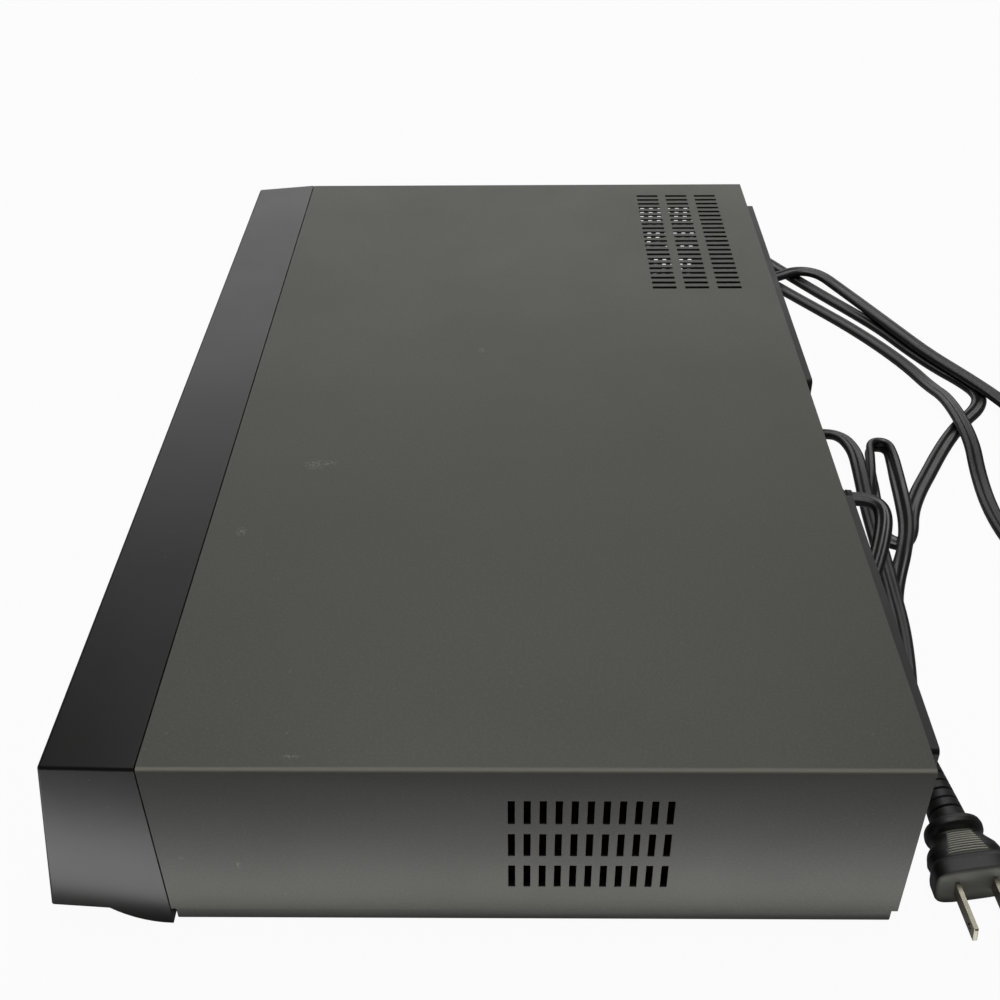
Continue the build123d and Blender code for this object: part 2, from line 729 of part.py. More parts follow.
# Tray: a plate with two stepped disc pockets, a window for the spindle and a toothed rack below
tray_top = tray_underside + tray_thickness
rack_low = 38.2
rack_teeth_count = 50
with BuildPart() as disc_tray:
    block(
        (loader_x - tray_width / 2, tray_front, tray_top - tray_plate),
        (loader_x + tray_width / 2, tray_rear, tray_top),
    )
    for side in (-1, 1):
        low_x, high_x = sorted((loader_x + side * (tray_width / 2 - 4), loader_x + side * tray_width / 2))
        block((low_x, tray_front, tray_underside), (high_x, tray_rear, tray_top))
    fillet(
        disc_tray.edges().filter_by(Axis.Z).filter_by(lambda e: e.center().Y > tray_rear - 1 and e.length > 4),
        3.0,
    )
    post(loader_x, spindle_y, tray_top - disc_pocket_depth, tray_top + 1, disc_radius + 0.8, mode=Mode.SUBTRACT)
    post(
        loader_x,
        spindle_y,
        tray_top - disc_pocket_depth - small_pocket_depth,
        tray_top,
        small_disc_radius + 0.6,
        mode=Mode.SUBTRACT,
    )
    with BuildSketch(Plane.XY.offset(tray_top + 1)):
        with Locations((loader_x, (window_front + window_width / 2 + tray_rear + 10) / 2)):
            Rectangle(window_width, tray_rear + 10 - window_front - window_width / 2)
        with Locations((loader_x, window_front + window_width / 2)):
            Circle(window_width / 2)
    extrude(amount=-10, mode=Mode.SUBTRACT)
    with BuildSketch(Plane.XY.offset(rack_low)):
        with Locations((loader_x + rack_face_x - 3.2, (tray_front + tray_rear) / 2 + 5.2)):
            Rectangle(4.0, tray_rear - tray_front - 14.4)
        with Locations((loader_x, 0)):
            rack_teeth(rack_face_x, pinion_y - 2.5 * pi * module_tray, rack_teeth_count, module_tray, 1)
    extrude(amount=tray_top - tray_plate - rack_low)
write(disc_tray.part, "disc_tray")

with BuildPart() as tray_door:
    low = door_z - door_height / 2
    high = door_z + door_height / 2
    with BuildSketch(side_plane(loader_x)):
        Polygon(
            (face_y(low), low),
            (face_y(high), high),
            (tray_front - 0.05, high),
            (tray_front - 0.05, low),
            align=None,
        )
    extrude(amount=tray_width / 2 + 0.9, both=True)
    fillet(tray_door.faces().sort_by(Axis.Y)[0].edges(), 0.5)
write(tray_door.part, "tray_door")

# Traverse: the plate that carries spindle, rods, pickup and sled drive
plate_low = 36.0
plate_high = 38.0
rod_x = 22.0
rod_z = 40.0
rod_radius = 1.5
pickup_front = spindle_y + 12.8
pickup_length = 24.0
sled_rack_x = 31.0
sled_gear_x = sled_rack_x + sled_pinion_teeth * module_sled / 2 + mesh_gap
sled_gear_y = spindle_y + 46
sled_reach = (sled_wheel_teeth + sled_motor_teeth) * module_sled / 2 + mesh_gap
sled_angle = -45.0
sled_motor_x = sled_gear_x + sled_reach * cos(radians(sled_angle))
sled_motor_y = sled_gear_y + sled_reach * sin(radians(sled_angle))
sled_motor_radius = 8.5
spindle_can = 12.0
traverse_front = spindle_y - 22
traverse_rear = hinge_y + 6
rod_ends = (spindle_y + 9.7, spindle_y + 77.7)
with BuildPart() as traverse_frame:
    block((loader_x - 42, traverse_front, plate_low), (loader_x + 58, traverse_rear, plate_high))
    for x0 in (-42, 56):
        block(
            (loader_x + x0, traverse_front, plate_low - 3),
            (loader_x + x0 + 2, traverse_rear, plate_high + 1.4),
        )
    block((loader_x - 42, traverse_front, plate_low - 3), (loader_x + 58, traverse_front + 2, plate_high))
    front_edges = traverse_frame.edges().filter_by(Axis.Z).filter_by(
        lambda e: e.center().Y < traverse_front + 0.1 and e.length > 3
    )
    fillet(front_edges, 1.5)
    block(
        (loader_x - 19.5, pickup_front - 1, plate_low - 1),
        (loader_x + 19.5, pickup_front + pickup_length + sled_travel + 1, plate_high + 1),
        mode=Mode.SUBTRACT,
    )
    for x in (-rod_x, rod_x):
        for y0 in (rod_ends[0] - 1.3, rod_ends[1] - 1.7):
            block((loader_x + x - 2.6, y0, plate_high - 0.5), (loader_x + x + 2.6, y0 + 3, rod_z + 2.8))
        y0, y1 = rod_ends[0] - 0.1, rod_ends[1] + 0.1
        front_rod(loader_x + x, rod_z, y0, y1, rod_radius + 0.05, mode=Mode.SUBTRACT)
    post(loader_x + sled_gear_x, sled_gear_y, plate_low, 43.8, 1.25)
    post(loader_x + sled_motor_x, sled_motor_y, plate_low - 1, plate_high + 1, 3.2, mode=Mode.SUBTRACT)
    for x0, x1 in ((-50.5, -41), (57, 66)):
        across_rod(hinge_y, hinge_z, loader_x + x0, loader_x + x1, hinge_radius)
write(traverse_frame.part, "traverse_frame")

with BuildPart() as guide_rods:
    for x in (-rod_x, rod_x):
        front_rod(loader_x + x, rod_z, rod_ends[0], rod_ends[1], rod_radius)
write(guide_rods.part, "guide_rods")

with BuildPart() as spindle_motor:
    post(loader_x, spindle_y, plate_high + 0.02, 40.0, spindle_can + 0.5)
    post(loader_x, spindle_y, 39.9, 47.0, spindle_can)
    fillet(spindle_motor.edges().group_by(Axis.Z)[-1], 1.2)
    post(loader_x, spindle_y, 39, 48, 1.0 + run_gap, mode=Mode.SUBTRACT)
write(spindle_motor.part, "spindle_motor")

disc_plane_z = 50.6
with BuildPart() as turntable:
    with BuildSketch(Plane(origin=(loader_x, spindle_y, 0), x_dir=(1, 0, 0), z_dir=(0, -1, 0))):
        with BuildLine():
            Polyline(
                (0, 39.5),
                (1.0, 39.5),
                (1.0, 47.3),
                (4.0, 47.3),
                (4.0, disc_plane_z - 1.3),
                (14.5, disc_plane_z - 1.3),
                (14.5, disc_plane_z),
                (8.2, disc_plane_z),
                (8.2, disc_plane_z - 0.4),
                (7.4, disc_plane_z - 0.4),
                (7.4, disc_plane_z + 1.4),
                (5.4, disc_plane_z + 3.4),
                (0, disc_plane_z + 3.4),
                close=True,
            )
        make_face()
    revolve(axis=Axis((loader_x, spindle_y, 0), (0, 0, 1)))
write(turntable.part, "turntable")

lens_y = pickup_front + 10.5
with BuildPart() as optical_pickup:
    block((loader_x - 28, pickup_front, 38.4), (loader_x + 25.3, pickup_front + pickup_length, 43.2))
    block((loader_x - 18.8, pickup_front, 33.0), (loader_x + 18.8, pickup_front + pickup_length, 38.6))
    fillet(optical_pickup.edges().filter_by(Axis.Z), 1.5)
    post(loader_x, lens_y, 43, 46.4, 8.0)
    for x in (-rod_x, rod_x):
        front_rod(loader_x + x, rod_z, pickup_front - 1, pickup_front + pickup_length + 1, rod_radius + run_gap,
                  mode=Mode.SUBTRACT)
    with BuildSketch(Plane.XY.offset(41.4)):
        with Locations((loader_x + 27.55, (sled_gear_y - 17 + pickup_front + pickup_length) / 2 - 1)):
            Rectangle(5.1, 50)
        with Locations((loader_x, 0)):
            rack_teeth(sled_rack_x, sled_gear_y - 15.5 * pi * module_sled, 19, module_sled, 1)
    extrude(amount=2.2)
    post(loader_x, lens_y, 44, 47, 4.4, mode=Mode.SUBTRACT)
write(optical_pickup.part, "optical_pickup")

with BuildPart() as objective_lens:
    post(loader_x, lens_y, 44.05, 47.2, 4.3)
    post(loader_x, lens_y, 47.1, 48.2, 3.3)
    fillet(objective_lens.edges().group_by(Axis.Z)[-1], 0.9)
write(objective_lens.part, "objective_lens")

with BuildPart() as sled_gear:
    with BuildSketch(Plane(origin=(loader_x + sled_gear_x, sled_gear_y, plate_high + 0.4))):
        toothed_disc(sled_wheel_teeth, module_sled, start_angle=sled_angle)
        Circle(1.25 + run_gap, mode=Mode.SUBTRACT)
    extrude(amount=2.2)
    with BuildSketch(Plane(origin=(loader_x + sled_gear_x, sled_gear_y, plate_high + 2.6))):
        toothed_disc(sled_pinion_teeth, module_sled, start_angle=0)
        Circle(1.25 + run_gap, mode=Mode.SUBTRACT)
    extrude(amount=3.0)
write(sled_gear.part, "sled_gear")

with BuildPart() as sled_motor:
    post(loader_x + sled_motor_x, sled_motor_y, 24, plate_low - 0.02, sled_motor_radius)
    post(loader_x + sled_motor_x, sled_motor_y, plate_low - 0.1, plate_low + 1.2, 3.0)
    post(loader_x + sled_motor_x, sled_motor_y, plate_low, 41.0, 0.8)
write(sled_motor.part, "sled_motor")

with BuildPart() as sled_motor_gear:
    with BuildSketch(Plane(origin=(loader_x + sled_motor_x, sled_motor_y, plate_high + 0.4))):
        toothed_disc(sled_motor_teeth, module_sled, start_angle=180 + sled_angle + 180 / sled_motor_teeth)
        Circle(0.8 + run_gap, mode=Mode.SUBTRACT)
    extrude(amount=2.2)
write(sled_motor_gear.part, "sled_motor_gear")

# Boards, each on its standoffs
power_board_depth = 67.5
main_board_depth = 171.5
power_front = board_rear - power_board_depth
main_front = board_rear - main_board_depth
power_places = [(x, y) for x in (-half_width + 12, -24.0) for y in (power_front + 6, board_rear - 6.5)]
main_places = [
    (10.0, main_front + 6),
    (10.0, board_rear - 7.5),
    (half_width - 12, main_front + 6),
    (half_width - 12, board_rear - 19.5),
    (105.0, main_front + 84),
]
board_top = board_z + board_thickness
seat_gap = 0.02
screw_radius = 1.4
with BuildPart() as power_board:
    block((-half_width + 8, power_front, board_z), (-18, board_rear, board_top))
    for x, y in power_places:
        post(x, y, board_z - 1, board_top + 1, screw_radius + 0.2, mode=Mode.SUBTRACT)
write(power_board.part, "power_board")

with BuildPart() as main_board:
    block((4, main_front, board_z), (half_width - 8, board_rear, board_top))
    for x, y in main_places:
        post(x, y, board_z - 1, board_top + 1, screw_radius + 0.2, mode=Mode.SUBTRACT)
write(main_board.part, "main_board")

with BuildPart() as standoffs:
    for x, y in power_places + main_places:
        post(x, y, z_pan, board_z, 3.5)
        post(x, y, board_z - 5.5, board_z + 1, screw_radius + 0.05, mode=Mode.SUBTRACT)
    for x, y in mount_ears:
        post(loader_x + x, y, z_pan, loader_floor_z, 4.0)
        post(loader_x + x, y, z_pan + 0.5, loader_floor_z + 1, screw_radius + 0.05, mode=Mode.SUBTRACT)
write(standoffs.part, "standoffs")

with BuildPart() as board_screws:
    for x, y in power_places + main_places:
        post(x, y, board_top + seat_gap, board_top + 1.8, 2.8)
        post(x, y, board_z - 5.2, board_top + 0.1, screw_radius)
    y_screwed = display_board_y + board_thickness
    for x in board_ledges:
        front_rod(x, board_ledge_z, y_screwed + seat_gap, y_screwed + 1.8, 2.6)
        front_rod(x, board_ledge_z, display_board_y - 0.08, y_screwed + 0.1, screw_radius)
write(board_screws.part, "board_screws")

# Mains side
part_z = board_top + seat_gap
with BuildPart() as power_transformer:
    with BuildSketch(front_plane(board_rear - 26.5)):
        with Locations((-50, part_z + 15)):
            Rectangle(34, 30)
            with Locations((-10.5, 0), (10.5, 0)):
                Rectangle(7, 20, mode=Mode.SUBTRACT)
    extrude(amount=14)
    post(-50, board_rear - 33.5, part_z + 5.2, part_z + 24.8, 13.0)
write(power_transformer.part, "power_transformer")

# Place across, distance in from the board's rear edge, radius and height
capacitor_specs = [
    (-84.0, 35.5, 9.0, 32.0),
    (-34.0, 53.5, 5.0, 16.0),
    (-48.0, 55.5, 5.0, 16.0),
    (-62.0, 55.5, 6.3, 20.0),
]
with BuildPart() as capacitors:
    for x, inward, radius, height in capacitor_specs:
        post(x, board_rear - inward, part_z, part_z + height, radius)
    fillet(capacitors.edges().filter_by(GeomType.CIRCLE).filter_by(lambda e: e.center().Z > part_z + 10), 0.8)
write(capacitors.part, "capacitors")

with BuildPart() as heat_sink:
    y = board_rear - 35.5
    block((-139, y, part_z), (-105, y + 3, part_z + 30))
    for i in range(7):
        x = -138.0 + i * 5.3
        block((x, y - 9, part_z), (x + 1.2, y + 0.5, part_z + 30))
    block((-132, y + 3, part_z + 8), (-112, y + 7.5, part_z + 24))
write(heat_sink.part, "heat_sink")

with BuildPart() as line_filter:
    post(-165, board_rear - 15.5, part_z, part_z + 2.5, 12.5)
    with Locations((-165, board_rear - 15.5, part_z + 6.4)):
        Torus(8.0, 4.2)
write(line_filter.part, "line_filter")

# Signal side: chips, the moulded socket block with its metal sleeves and coloured rings
# Place across, distance back from the board's front edge, length, width and height
chip_specs = [
    (70.0, 64.0, 28.0, 28.0, 3.2),
    (120.0, 56.0, 20.0, 12.0, 2.4),
    (70.0, 24.0, 22.0, 10.0, 2.4),
    (130.0, 99.0, 26.0, 12.0, 3.0),
]
connector_x = 12.0
cable_y = (loader_rear - 25, loader_rear - 9)
with BuildPart() as main_chips:
    for x, back, length, width, height in chip_specs:
        y = main_front + back
        block((x - length / 2, y - width / 2, part_z), (x + length / 2, y + width / 2, part_z + height))
    block((connector_x - 4, cable_y[0] - 2, part_z), (connector_x + 4, cable_y[1] + 2, part_z + 5.5))
    block(
        (connector_x - 0.8, cable_y[0] - 0.5, part_z + 2),
        (connector_x + 0.8, cable_y[1] + 0.5, part_z + 6),
        mode=Mode.SUBTRACT,
    )
write(main_chips.part, "main_chips")

block_x = (jack_x - 14.0, jack_x + 3 * jack_pitch_x + 14.0)
block_top = jack_low_z + jack_pitch_z + 11.0
block_front = board_rear - 15.5
block_seat = y_field - panel_sheet - seat_gap
core_radius = jack_radius - sleeve_wall
s_video_housing = 7.0
with BuildPart() as jack_block:
    block((block_x[0], block_front, part_z), (block_x[1], y_panel - panel_sheet - 0.4, block_top))
    block((block_x[0], block_front + 8, field_low + panel_sheet + 0.5), (block_x[1], block_seat, block_top))
    x, z = s_video_place
    block(
        (x - s_video_housing - 0.4, block_front - 1, part_z - 1),
        (block_x[1] + 1, y_field, z + s_video_housing + 0.4),
        mode=Mode.SUBTRACT,
    )
    for x, z in jack_places:
        front_rod(x, z, y_field - panel_sheet - 0.1, y_field + jack_reach - 1.2, core_radius)
    for x, z in jack_places:
        front_rod(x, z, y_field, y_field + jack_reach, 1.65, mode=Mode.SUBTRACT)
write(jack_block.part, "jack_block")

ring_thickness = 1.8
with BuildPart() as jack_sleeves:
    for x, z in jack_places:
        front_rod(x, z, y_field - panel_sheet, y_field + jack_reach, jack_radius - jack_inner_step)
        front_rod(x, z, y_field + ring_thickness + 0.1, y_field + jack_reach, jack_radius)
        front_rod(x, z, y_field - 2, y_field + jack_reach + 1, core_radius + 0.03, mode=Mode.SUBTRACT)
write(jack_sleeves.part, "jack_sleeves")

ring_specs = {
    "white_jack_ring": jack_places[0:1],
    "red_jack_rings": [jack_places[1], jack_places[3]],
    "yellow_jack_ring": jack_places[2:3],
    "green_jack_ring": jack_places[4:5],
    "blue_jack_ring": jack_places[5:6],
}
for name, places in ring_specs.items():
    with BuildPart() as ring:
        for x, z in places:
            front_rod(x, z, y_field + seat_gap, y_field + ring_thickness, 6.6)
            front_rod(x, z, y_field - 1, y_field + 3, jack_radius - jack_inner_step + 0.05, mode=Mode.SUBTRACT)
        fillet(ring.edges().filter_by(GeomType.CIRCLE).filter_by(lambda e: e.center().Y > y_field + 1.7), 0.5)
    write(ring.part, name)

with BuildPart() as s_video_jack:
    x, z = s_video_place
    low_x, high_x = x - s_video_housing, x + s_video_housing
    block((low_x, block_front, part_z), (high_x, y_panel - panel_sheet - 0.4, z + s_video_housing))
    block((low_x, block_front + 8, field_low + panel_sheet + 0.5), (high_x, block_seat, z + s_video_housing))
    front_rod(x, z, block_seat - 1, y_field + 1.2, 6.2)
    front_rod(x, z, y_panel - 3.0, y_field + 2, 4.8, mode=Mode.SUBTRACT)
    block((x - 1.6, y_panel - 3.5, z - 4.2), (x + 1.6, y_field - 2, z - 2.8))
write(s_video_jack.part, "s_video_jack")

with BuildPart() as loader_cable:
    with BuildSketch(front_plane(cable_y[1])):
        with BuildLine():
            cable_start = loader_x + wall_x + seat_gap
            span = connector_x - cable_start
            FilletPolyline(
                (cable_start, 24.0),
                (cable_start + 0.3 * span, 24.0),
                (cable_start + 0.42 * span, 40.0),
                (cable_start + 0.86 * span, 40.0),
                (connector_x, 30.0),
                (connector_x, part_z + 2.3),
                radius=2.5,
            )
        trace(line_width=0.5)
    extrude(amount=cable_y[1] - cable_y[0])
write(loader_cable.part, "loader_cable")

# Strain relief in the rear panel: a clipped bush with a ribbed, tapering sleeve
relief_rear = y_panel + relief_length
relief_tip_radius = 4.2
with BuildPart() as cord_relief:
    with BuildSketch(Plane(origin=(relief_x, 0, relief_z), x_dir=(0, 1, 0), z_dir=(1, 0, 0))):
        with BuildLine():
            outline = [
                (y_panel - 6.0, 0),
                (y_panel - 6.0, 5.0),
                (y_panel - panel_sheet - 0.3, 7.2),
                (y_panel - panel_sheet - 0.3, 6.0),
                (y_panel + 0.3, 6.0),
                (y_panel + 0.3, 8.2),
                (y_panel + 3.0, 8.2),
            ]
            ribs = 6
            rib_pitch = (relief_length - 3.0) / ribs
            for i in range(ribs):
                y = y_panel + 3.0 + i * rib_pitch
                radius = 6.4 - (6.4 - relief_tip_radius) * i / (ribs - 1)
                outline += [(y, radius - 1.1), (y + 1.2, radius - 1.1)]
                outline += [(y + 1.2, radius), (y + rib_pitch, radius - 0.2)]
            outline.append((relief_rear, 0))
            Polyline(*outline, close=True)
        make_face()
    revolve(axis=Axis((relief_x, 0, relief_z), (0, 1, 0)))
write(cord_relief.part, "cord_relief")

# Plug, lying on its side on the floor, with its face towards +X
plug_heading = radians(4.5)
plug_dip = radians(1.0)
plug_roll = radians(7.0)
plug_face = (204.0, 163.0, 10.45)
plug_width = 27.0
plug_height = 18.0
blade_pitch = 12.7
blade_width = 6.35
blade_thickness = 1.5
blade_length = 18.2
plug_length = 57.0
neck_back = 19.0
flange_depth = 5.5
relief_back = neck_back + flange_depth
plug_axis = Vector(cos(plug_heading) * cos(plug_dip), sin(plug_heading) * cos(plug_dip), -sin(plug_dip))
level_side = Vector(-sin(plug_heading), cos(plug_heading), 0)
upright = plug_axis.cross(level_side)
plug_side = level_side * cos(plug_roll) + upright * sin(plug_roll)
face_plane = Plane(origin=plug_face, x_dir=plug_side, z_dir=plug_axis)
with BuildPart() as plug_body:
    with BuildSketch(face_plane):
        RectangleRounded(plug_width, plug_height, 4)
    extrude(amount=-7.5)
    fillet(plug_body.faces().filter_by(lambda f: f.center().X > plug_face[0] - 0.5).edges(), 1.0)
    with BuildSketch(face_plane.offset(-7.5)):
        RectangleRounded(plug_width - 1, plug_height - 1, 4)
    with BuildSketch(face_plane.offset(-neck_back)):
        RectangleRounded(17.5, 12.0, 4)
    loft()
    with BuildSketch(face_plane.offset(-neck_back)):
        RectangleRounded(23.0, 19.5, 4)
    extrude(amount=-flange_depth)
    with BuildSketch(Plane(origin=plug_face, x_dir=plug_side, z_dir=plug_side.cross(plug_axis))):
        with BuildLine():
            outline = [(0, 0.1 - relief_back)]
            segments = 8
            segment = (plug_length - relief_back) / segments
            for i in range(segments):
                back = relief_back + i * segment
                radius = 6.6 - (6.6 - 4.4) * i / (segments - 1)
                outline += [(radius, -back - 0.9), (radius - 0.25, -back - segment)]
                if i < segments - 1:
                    outline += [(radius - 1.3, -back - segment), (radius - 1.3, -back - segment - 0.9)]
            outline.append((0, -plug_length))
            Polyline(*outline, close=True)
        make_face()
    revolve(axis=Axis(plug_face, plug_axis))
    for side in (-1, 1):
        for i in range(9):
            back = 8.5 + i * 1.12
            fall = (plug_height / 2 - 6.5) * (back - 7.5) / (neck_back - 7.5)
            rise = plug_height / 2 - 0.5 - fall
            with BuildSketch(face_plane.offset(-back)):
                with Locations((0, side * rise)):
                    Rectangle(15.0 - 6.5 * i / 8, 1.4)
            extrude(amount=-0.6)
write(plug_body.part, "plug_body")

with BuildPart() as plug_blades:
    with BuildSketch(face_plane):
        with Locations((-blade_pitch / 2, 0), (blade_pitch / 2, 0)):
            Rectangle(blade_thickness, blade_width)
    extrude(amount=blade_length)
    with BuildSketch(Plane(origin=plug_face, x_dir=plug_axis, z_dir=plug_side)):
        with Locations((blade_length - 4.3, 0)):
            Circle(1.55)
    extrude(amount=20, both=True, mode=Mode.SUBTRACT)
    chamfer(plug_blades.faces().filter_by(Axis(plug_face, plug_axis)).sort_by(Axis.X)[-2:].edges(), 0.4)
write(plug_blades.part, "plug_blades")

# Mains cord: the points of its route over the floor, from the relief to the plug
lead_area = lead_thickness * (lead_width - lead_thickness) + pi * lead_thickness ** 2 / 4
cord_radius = sqrt(lead_area / pi)
plug_end = Vector(*plug_face) - plug_axis * plug_length
floor_z = 3.0
cross_z = 9.9
cord_route = [
    (14, 168, 30), (22.5, 174.5, 27), (36, 168.5, 20), (50, 160.5, 10), (66.4, 156.5, floor_z),
    (77.6, 157, floor_z), (85.5, 164.4, floor_z), (85.5, 175.6, floor_z), (77.6, 183.5, floor_z),
    (65, 185.5, floor_z), (46, 184, floor_z), (24, 184.25, cross_z), (-11, 189.25, cross_z),
    (-34, 194.5, 4), (-52.5, 197, floor_z), (-65, 196.5, floor_z), (-65.5, 184, floor_z),
    (-53, 181.5, floor_z), (-37, 180, floor_z), (-20, 177.6, floor_z), (-3, 177.7, floor_z),
    (8, 180.5, floor_z), (13.5, 189.5, floor_z), (9, 199, floor_z), (-2, 202.6, floor_z),
    (-24, 203.5, floor_z), (-46, 210.5, floor_z), (-70, 224, floor_z), (-89, 239.5, floor_z),
    (-104, 251, floor_z), (-122, 254.5, floor_z), (-144, 243.25, floor_z), (-182, 216.25, floor_z),
    (-214, 194.25, floor_z), (-250, 175.25, floor_z), (-282, 161.25, floor_z), (-304, 143.25, floor_z),
    (-312, 120.25, floor_z), (-300, 96.25, floor_z), (-274, 88.25, floor_z), (-250, 102.25, cross_z),
    (-239, 128.25, cross_z), (-237, 150.25, cross_z), (-243.5, 167.5, cross_z), (-249, 182, cross_z),
    (-243, 195.5, 5), (-227, 204.5, 3.2), (-206, 212.5, 4), (-180, 222.25, cross_z), (-152, 237.75, cross_z),
    (-118, 255.25, cross_z), (-88, 270.25, 8), (-54, 284.25, floor_z), (-16, 292.25, floor_z),
    (16, 287.25, floor_z), (38, 269.25, floor_z), (36, 246.25, floor_z), (14, 234.25, floor_z),
    (-14, 232.25, floor_z), (-44, 237.25, floor_z), (-76, 240.75, cross_z), (-104, 236.25, cross_z),
    (-134, 231.25, floor_z), (-162, 219.25, floor_z), (-193, 198, floor_z), (-222, 179.25, floor_z),
    (-246, 164, floor_z), (-264, 151, floor_z), (-272, 133, floor_z), (-262, 116, floor_z),
    (-241, 113, floor_z), (-227, 126, floor_z), (-220, 143, floor_z), (-200, 149.5, floor_z),
    (-174, 151, floor_z), (-146, 150, floor_z), (-114, 148, floor_z), (-90, 150.25, floor_z),
    (-75, 160.25, 5), (-67, 173.25, cross_z), (-50, 178.25, cross_z), (-28, 176.75, cross_z),
    (-6, 176.25, cross_z), (20, 175, cross_z), (46, 172.25, cross_z), (72, 171.25, cross_z),
    (94, 167.75, cross_z), (114, 162.5, 10.6),
]
cord_points = [Vector(relief_x, relief_rear, relief_z)]
cord_points += [Vector(*p) for p in cord_route]
cord_points += [plug_end - plug_axis * 14, plug_end]
runs = [b - a for a, b in zip(cord_points, cord_points[1:])]
corner_radii = []
for before, after in zip(runs, runs[1:]):
    half_turn = radians(before.get_angle(after) / 2)
    corner_radii.append(0.45 * min(before.length, after.length) / tan(half_turn))
with BuildPart() as power_cord:
    with BuildLine() as cord_path:
        FilletPolyline(*cord_points, radius=corner_radii)
    with BuildSketch(Plane(origin=cord_points[0], z_dir=runs[0])):
        Circle(cord_radius)
    sweep()
cord_length = sum(edge.length for edge in cord_path.edges())
print("cord length", round(cord_length, 1), "tightest radii", [round(r, 1) for r in sorted(corner_radii)[:12]])
print("tube volume over section times length", power_cord.part.volume / (pi * cord_radius ** 2 * cord_length))
write(power_cord.part, "power_cord")
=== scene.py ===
"""The looks of a full-width disc player, its flat mains cord and its plug."""

import json
from math import cos, radians, sin

import bmesh
import bpy
import numpy as np
from mathutils import Matrix, Vector

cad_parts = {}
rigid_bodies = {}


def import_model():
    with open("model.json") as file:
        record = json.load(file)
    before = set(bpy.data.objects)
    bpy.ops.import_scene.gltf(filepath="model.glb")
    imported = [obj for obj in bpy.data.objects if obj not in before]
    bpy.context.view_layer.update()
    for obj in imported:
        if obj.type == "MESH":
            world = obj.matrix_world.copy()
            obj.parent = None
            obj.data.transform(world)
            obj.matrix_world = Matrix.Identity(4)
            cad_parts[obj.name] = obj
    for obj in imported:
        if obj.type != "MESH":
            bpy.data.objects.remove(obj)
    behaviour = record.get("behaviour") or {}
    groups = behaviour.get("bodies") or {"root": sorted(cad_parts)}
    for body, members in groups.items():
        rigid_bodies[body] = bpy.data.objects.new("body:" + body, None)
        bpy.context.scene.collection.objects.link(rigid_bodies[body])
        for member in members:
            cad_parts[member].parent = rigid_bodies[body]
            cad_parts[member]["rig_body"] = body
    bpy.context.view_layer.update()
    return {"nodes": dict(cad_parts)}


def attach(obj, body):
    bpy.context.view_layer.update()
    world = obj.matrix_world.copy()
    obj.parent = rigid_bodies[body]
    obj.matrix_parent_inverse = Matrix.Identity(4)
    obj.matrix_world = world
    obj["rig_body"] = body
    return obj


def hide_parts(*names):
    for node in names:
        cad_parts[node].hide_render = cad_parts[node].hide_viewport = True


bl_info = {
    "name": "Disc Player Looks",
    "version": (1, 0, 0),
    "blender": (4, 5, 0),
    "location": "View3D > Sidebar > Player",
    "description": "Finishes the case, mechanism, cord and plug, and sets the stage",
    "category": "Object",
}

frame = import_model()
MM = 0.001
# Distances in metres under which points of a new mesh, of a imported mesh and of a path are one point
NEW_DOUBLES = 1e-7
PACKED_DOUBLES = 2e-6
PATH_DOUBLES = 1e-6
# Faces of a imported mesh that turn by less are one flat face; edges that turn by more are rounded
FLAT_DEGREES = 0.5
SHEET_DEGREES = 30
FRONT_DEGREES = 9
LEAD_DEGREES = 60
BEVEL_SEGMENTS = 2
BODY_OF = {node: empty["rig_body"] for node, empty in frame["nodes"].items()}


def linear(code):
    """A colour written as an sRGB hex code, as linear red, green, blue."""
    parts = np.array([int(code[i:i + 2], 16) for i in (0, 2, 4)]) / 255
    return tuple(np.where(parts <= 0.04045, parts / 12.92, ((parts + 0.055) / 1.055) ** 2.4))


# ---- Sizes and colours that a user would change ----


class CaseProperties(bpy.types.PropertyGroup):
    paint: bpy.props.FloatVectorProperty(
        name="Cover paint", description="Colour of the painted cover", subtype="COLOR", size=3,
        default=linear("47473f"))
    paint_light: bpy.props.FloatVectorProperty(
        name="Paint fleck", description="Lighter grains of the cover's paint", subtype="COLOR",
        size=3, default=linear("585850"))
    plastic: bpy.props.FloatVectorProperty(
        name="Front plastic", description="Colour of the moulded front", subtype="COLOR", size=3,
        default=linear("161615"))
    grain: bpy.props.FloatProperty(
        name="Paint grain", description="Width of one grain of the paint", default=0.9 * MM,
        subtype="DISTANCE", unit="LENGTH", min=0.0001)
    soft_edge: bpy.props.FloatProperty(
        name="Edge radius", description="Rounding of sheet and moulded edges", default=0.22 * MM,
        subtype="DISTANCE", unit="LENGTH", min=0.00001)


class CordProperties(bpy.types.PropertyGroup):
    width: bpy.props.FloatProperty(
        name="Lead width", description="Width across both cores", default=7.9 * MM,
        subtype="DISTANCE", unit="LENGTH")
    thickness: bpy.props.FloatProperty(
        name="Lead thickness", description="Thickness of one core with its sheath",
        default=3.9 * MM, subtype="DISTANCE", unit="LENGTH")
    length: bpy.props.FloatProperty(
        name="Lead length", description="From the strain relief to the plug", default=2.0,
        subtype="DISTANCE", unit="LENGTH")
    rubber: bpy.props.FloatVectorProperty(
        name="Sheath", description="Colour of the lead and plug", subtype="COLOR", size=3,
        default=linear("191918"))


class StageProperties(bpy.types.PropertyGroup):
    floor_size: bpy.props.FloatProperty(
        name="Floor", description="Length of the floor's side", default=14.0,
        subtype="DISTANCE", unit="LENGTH")
    lens: bpy.props.FloatProperty(
        name="Lens", description="Focal length in millimetres, for the sensor's width",
        default=46.49, unit="CAMERA")
    lamp: bpy.props.FloatProperty(
        name="Softbox power", description="Power of the overhead softbox", default=16.0,
        subtype="POWER", unit="POWER")


# ---- Meshes from numpy ----


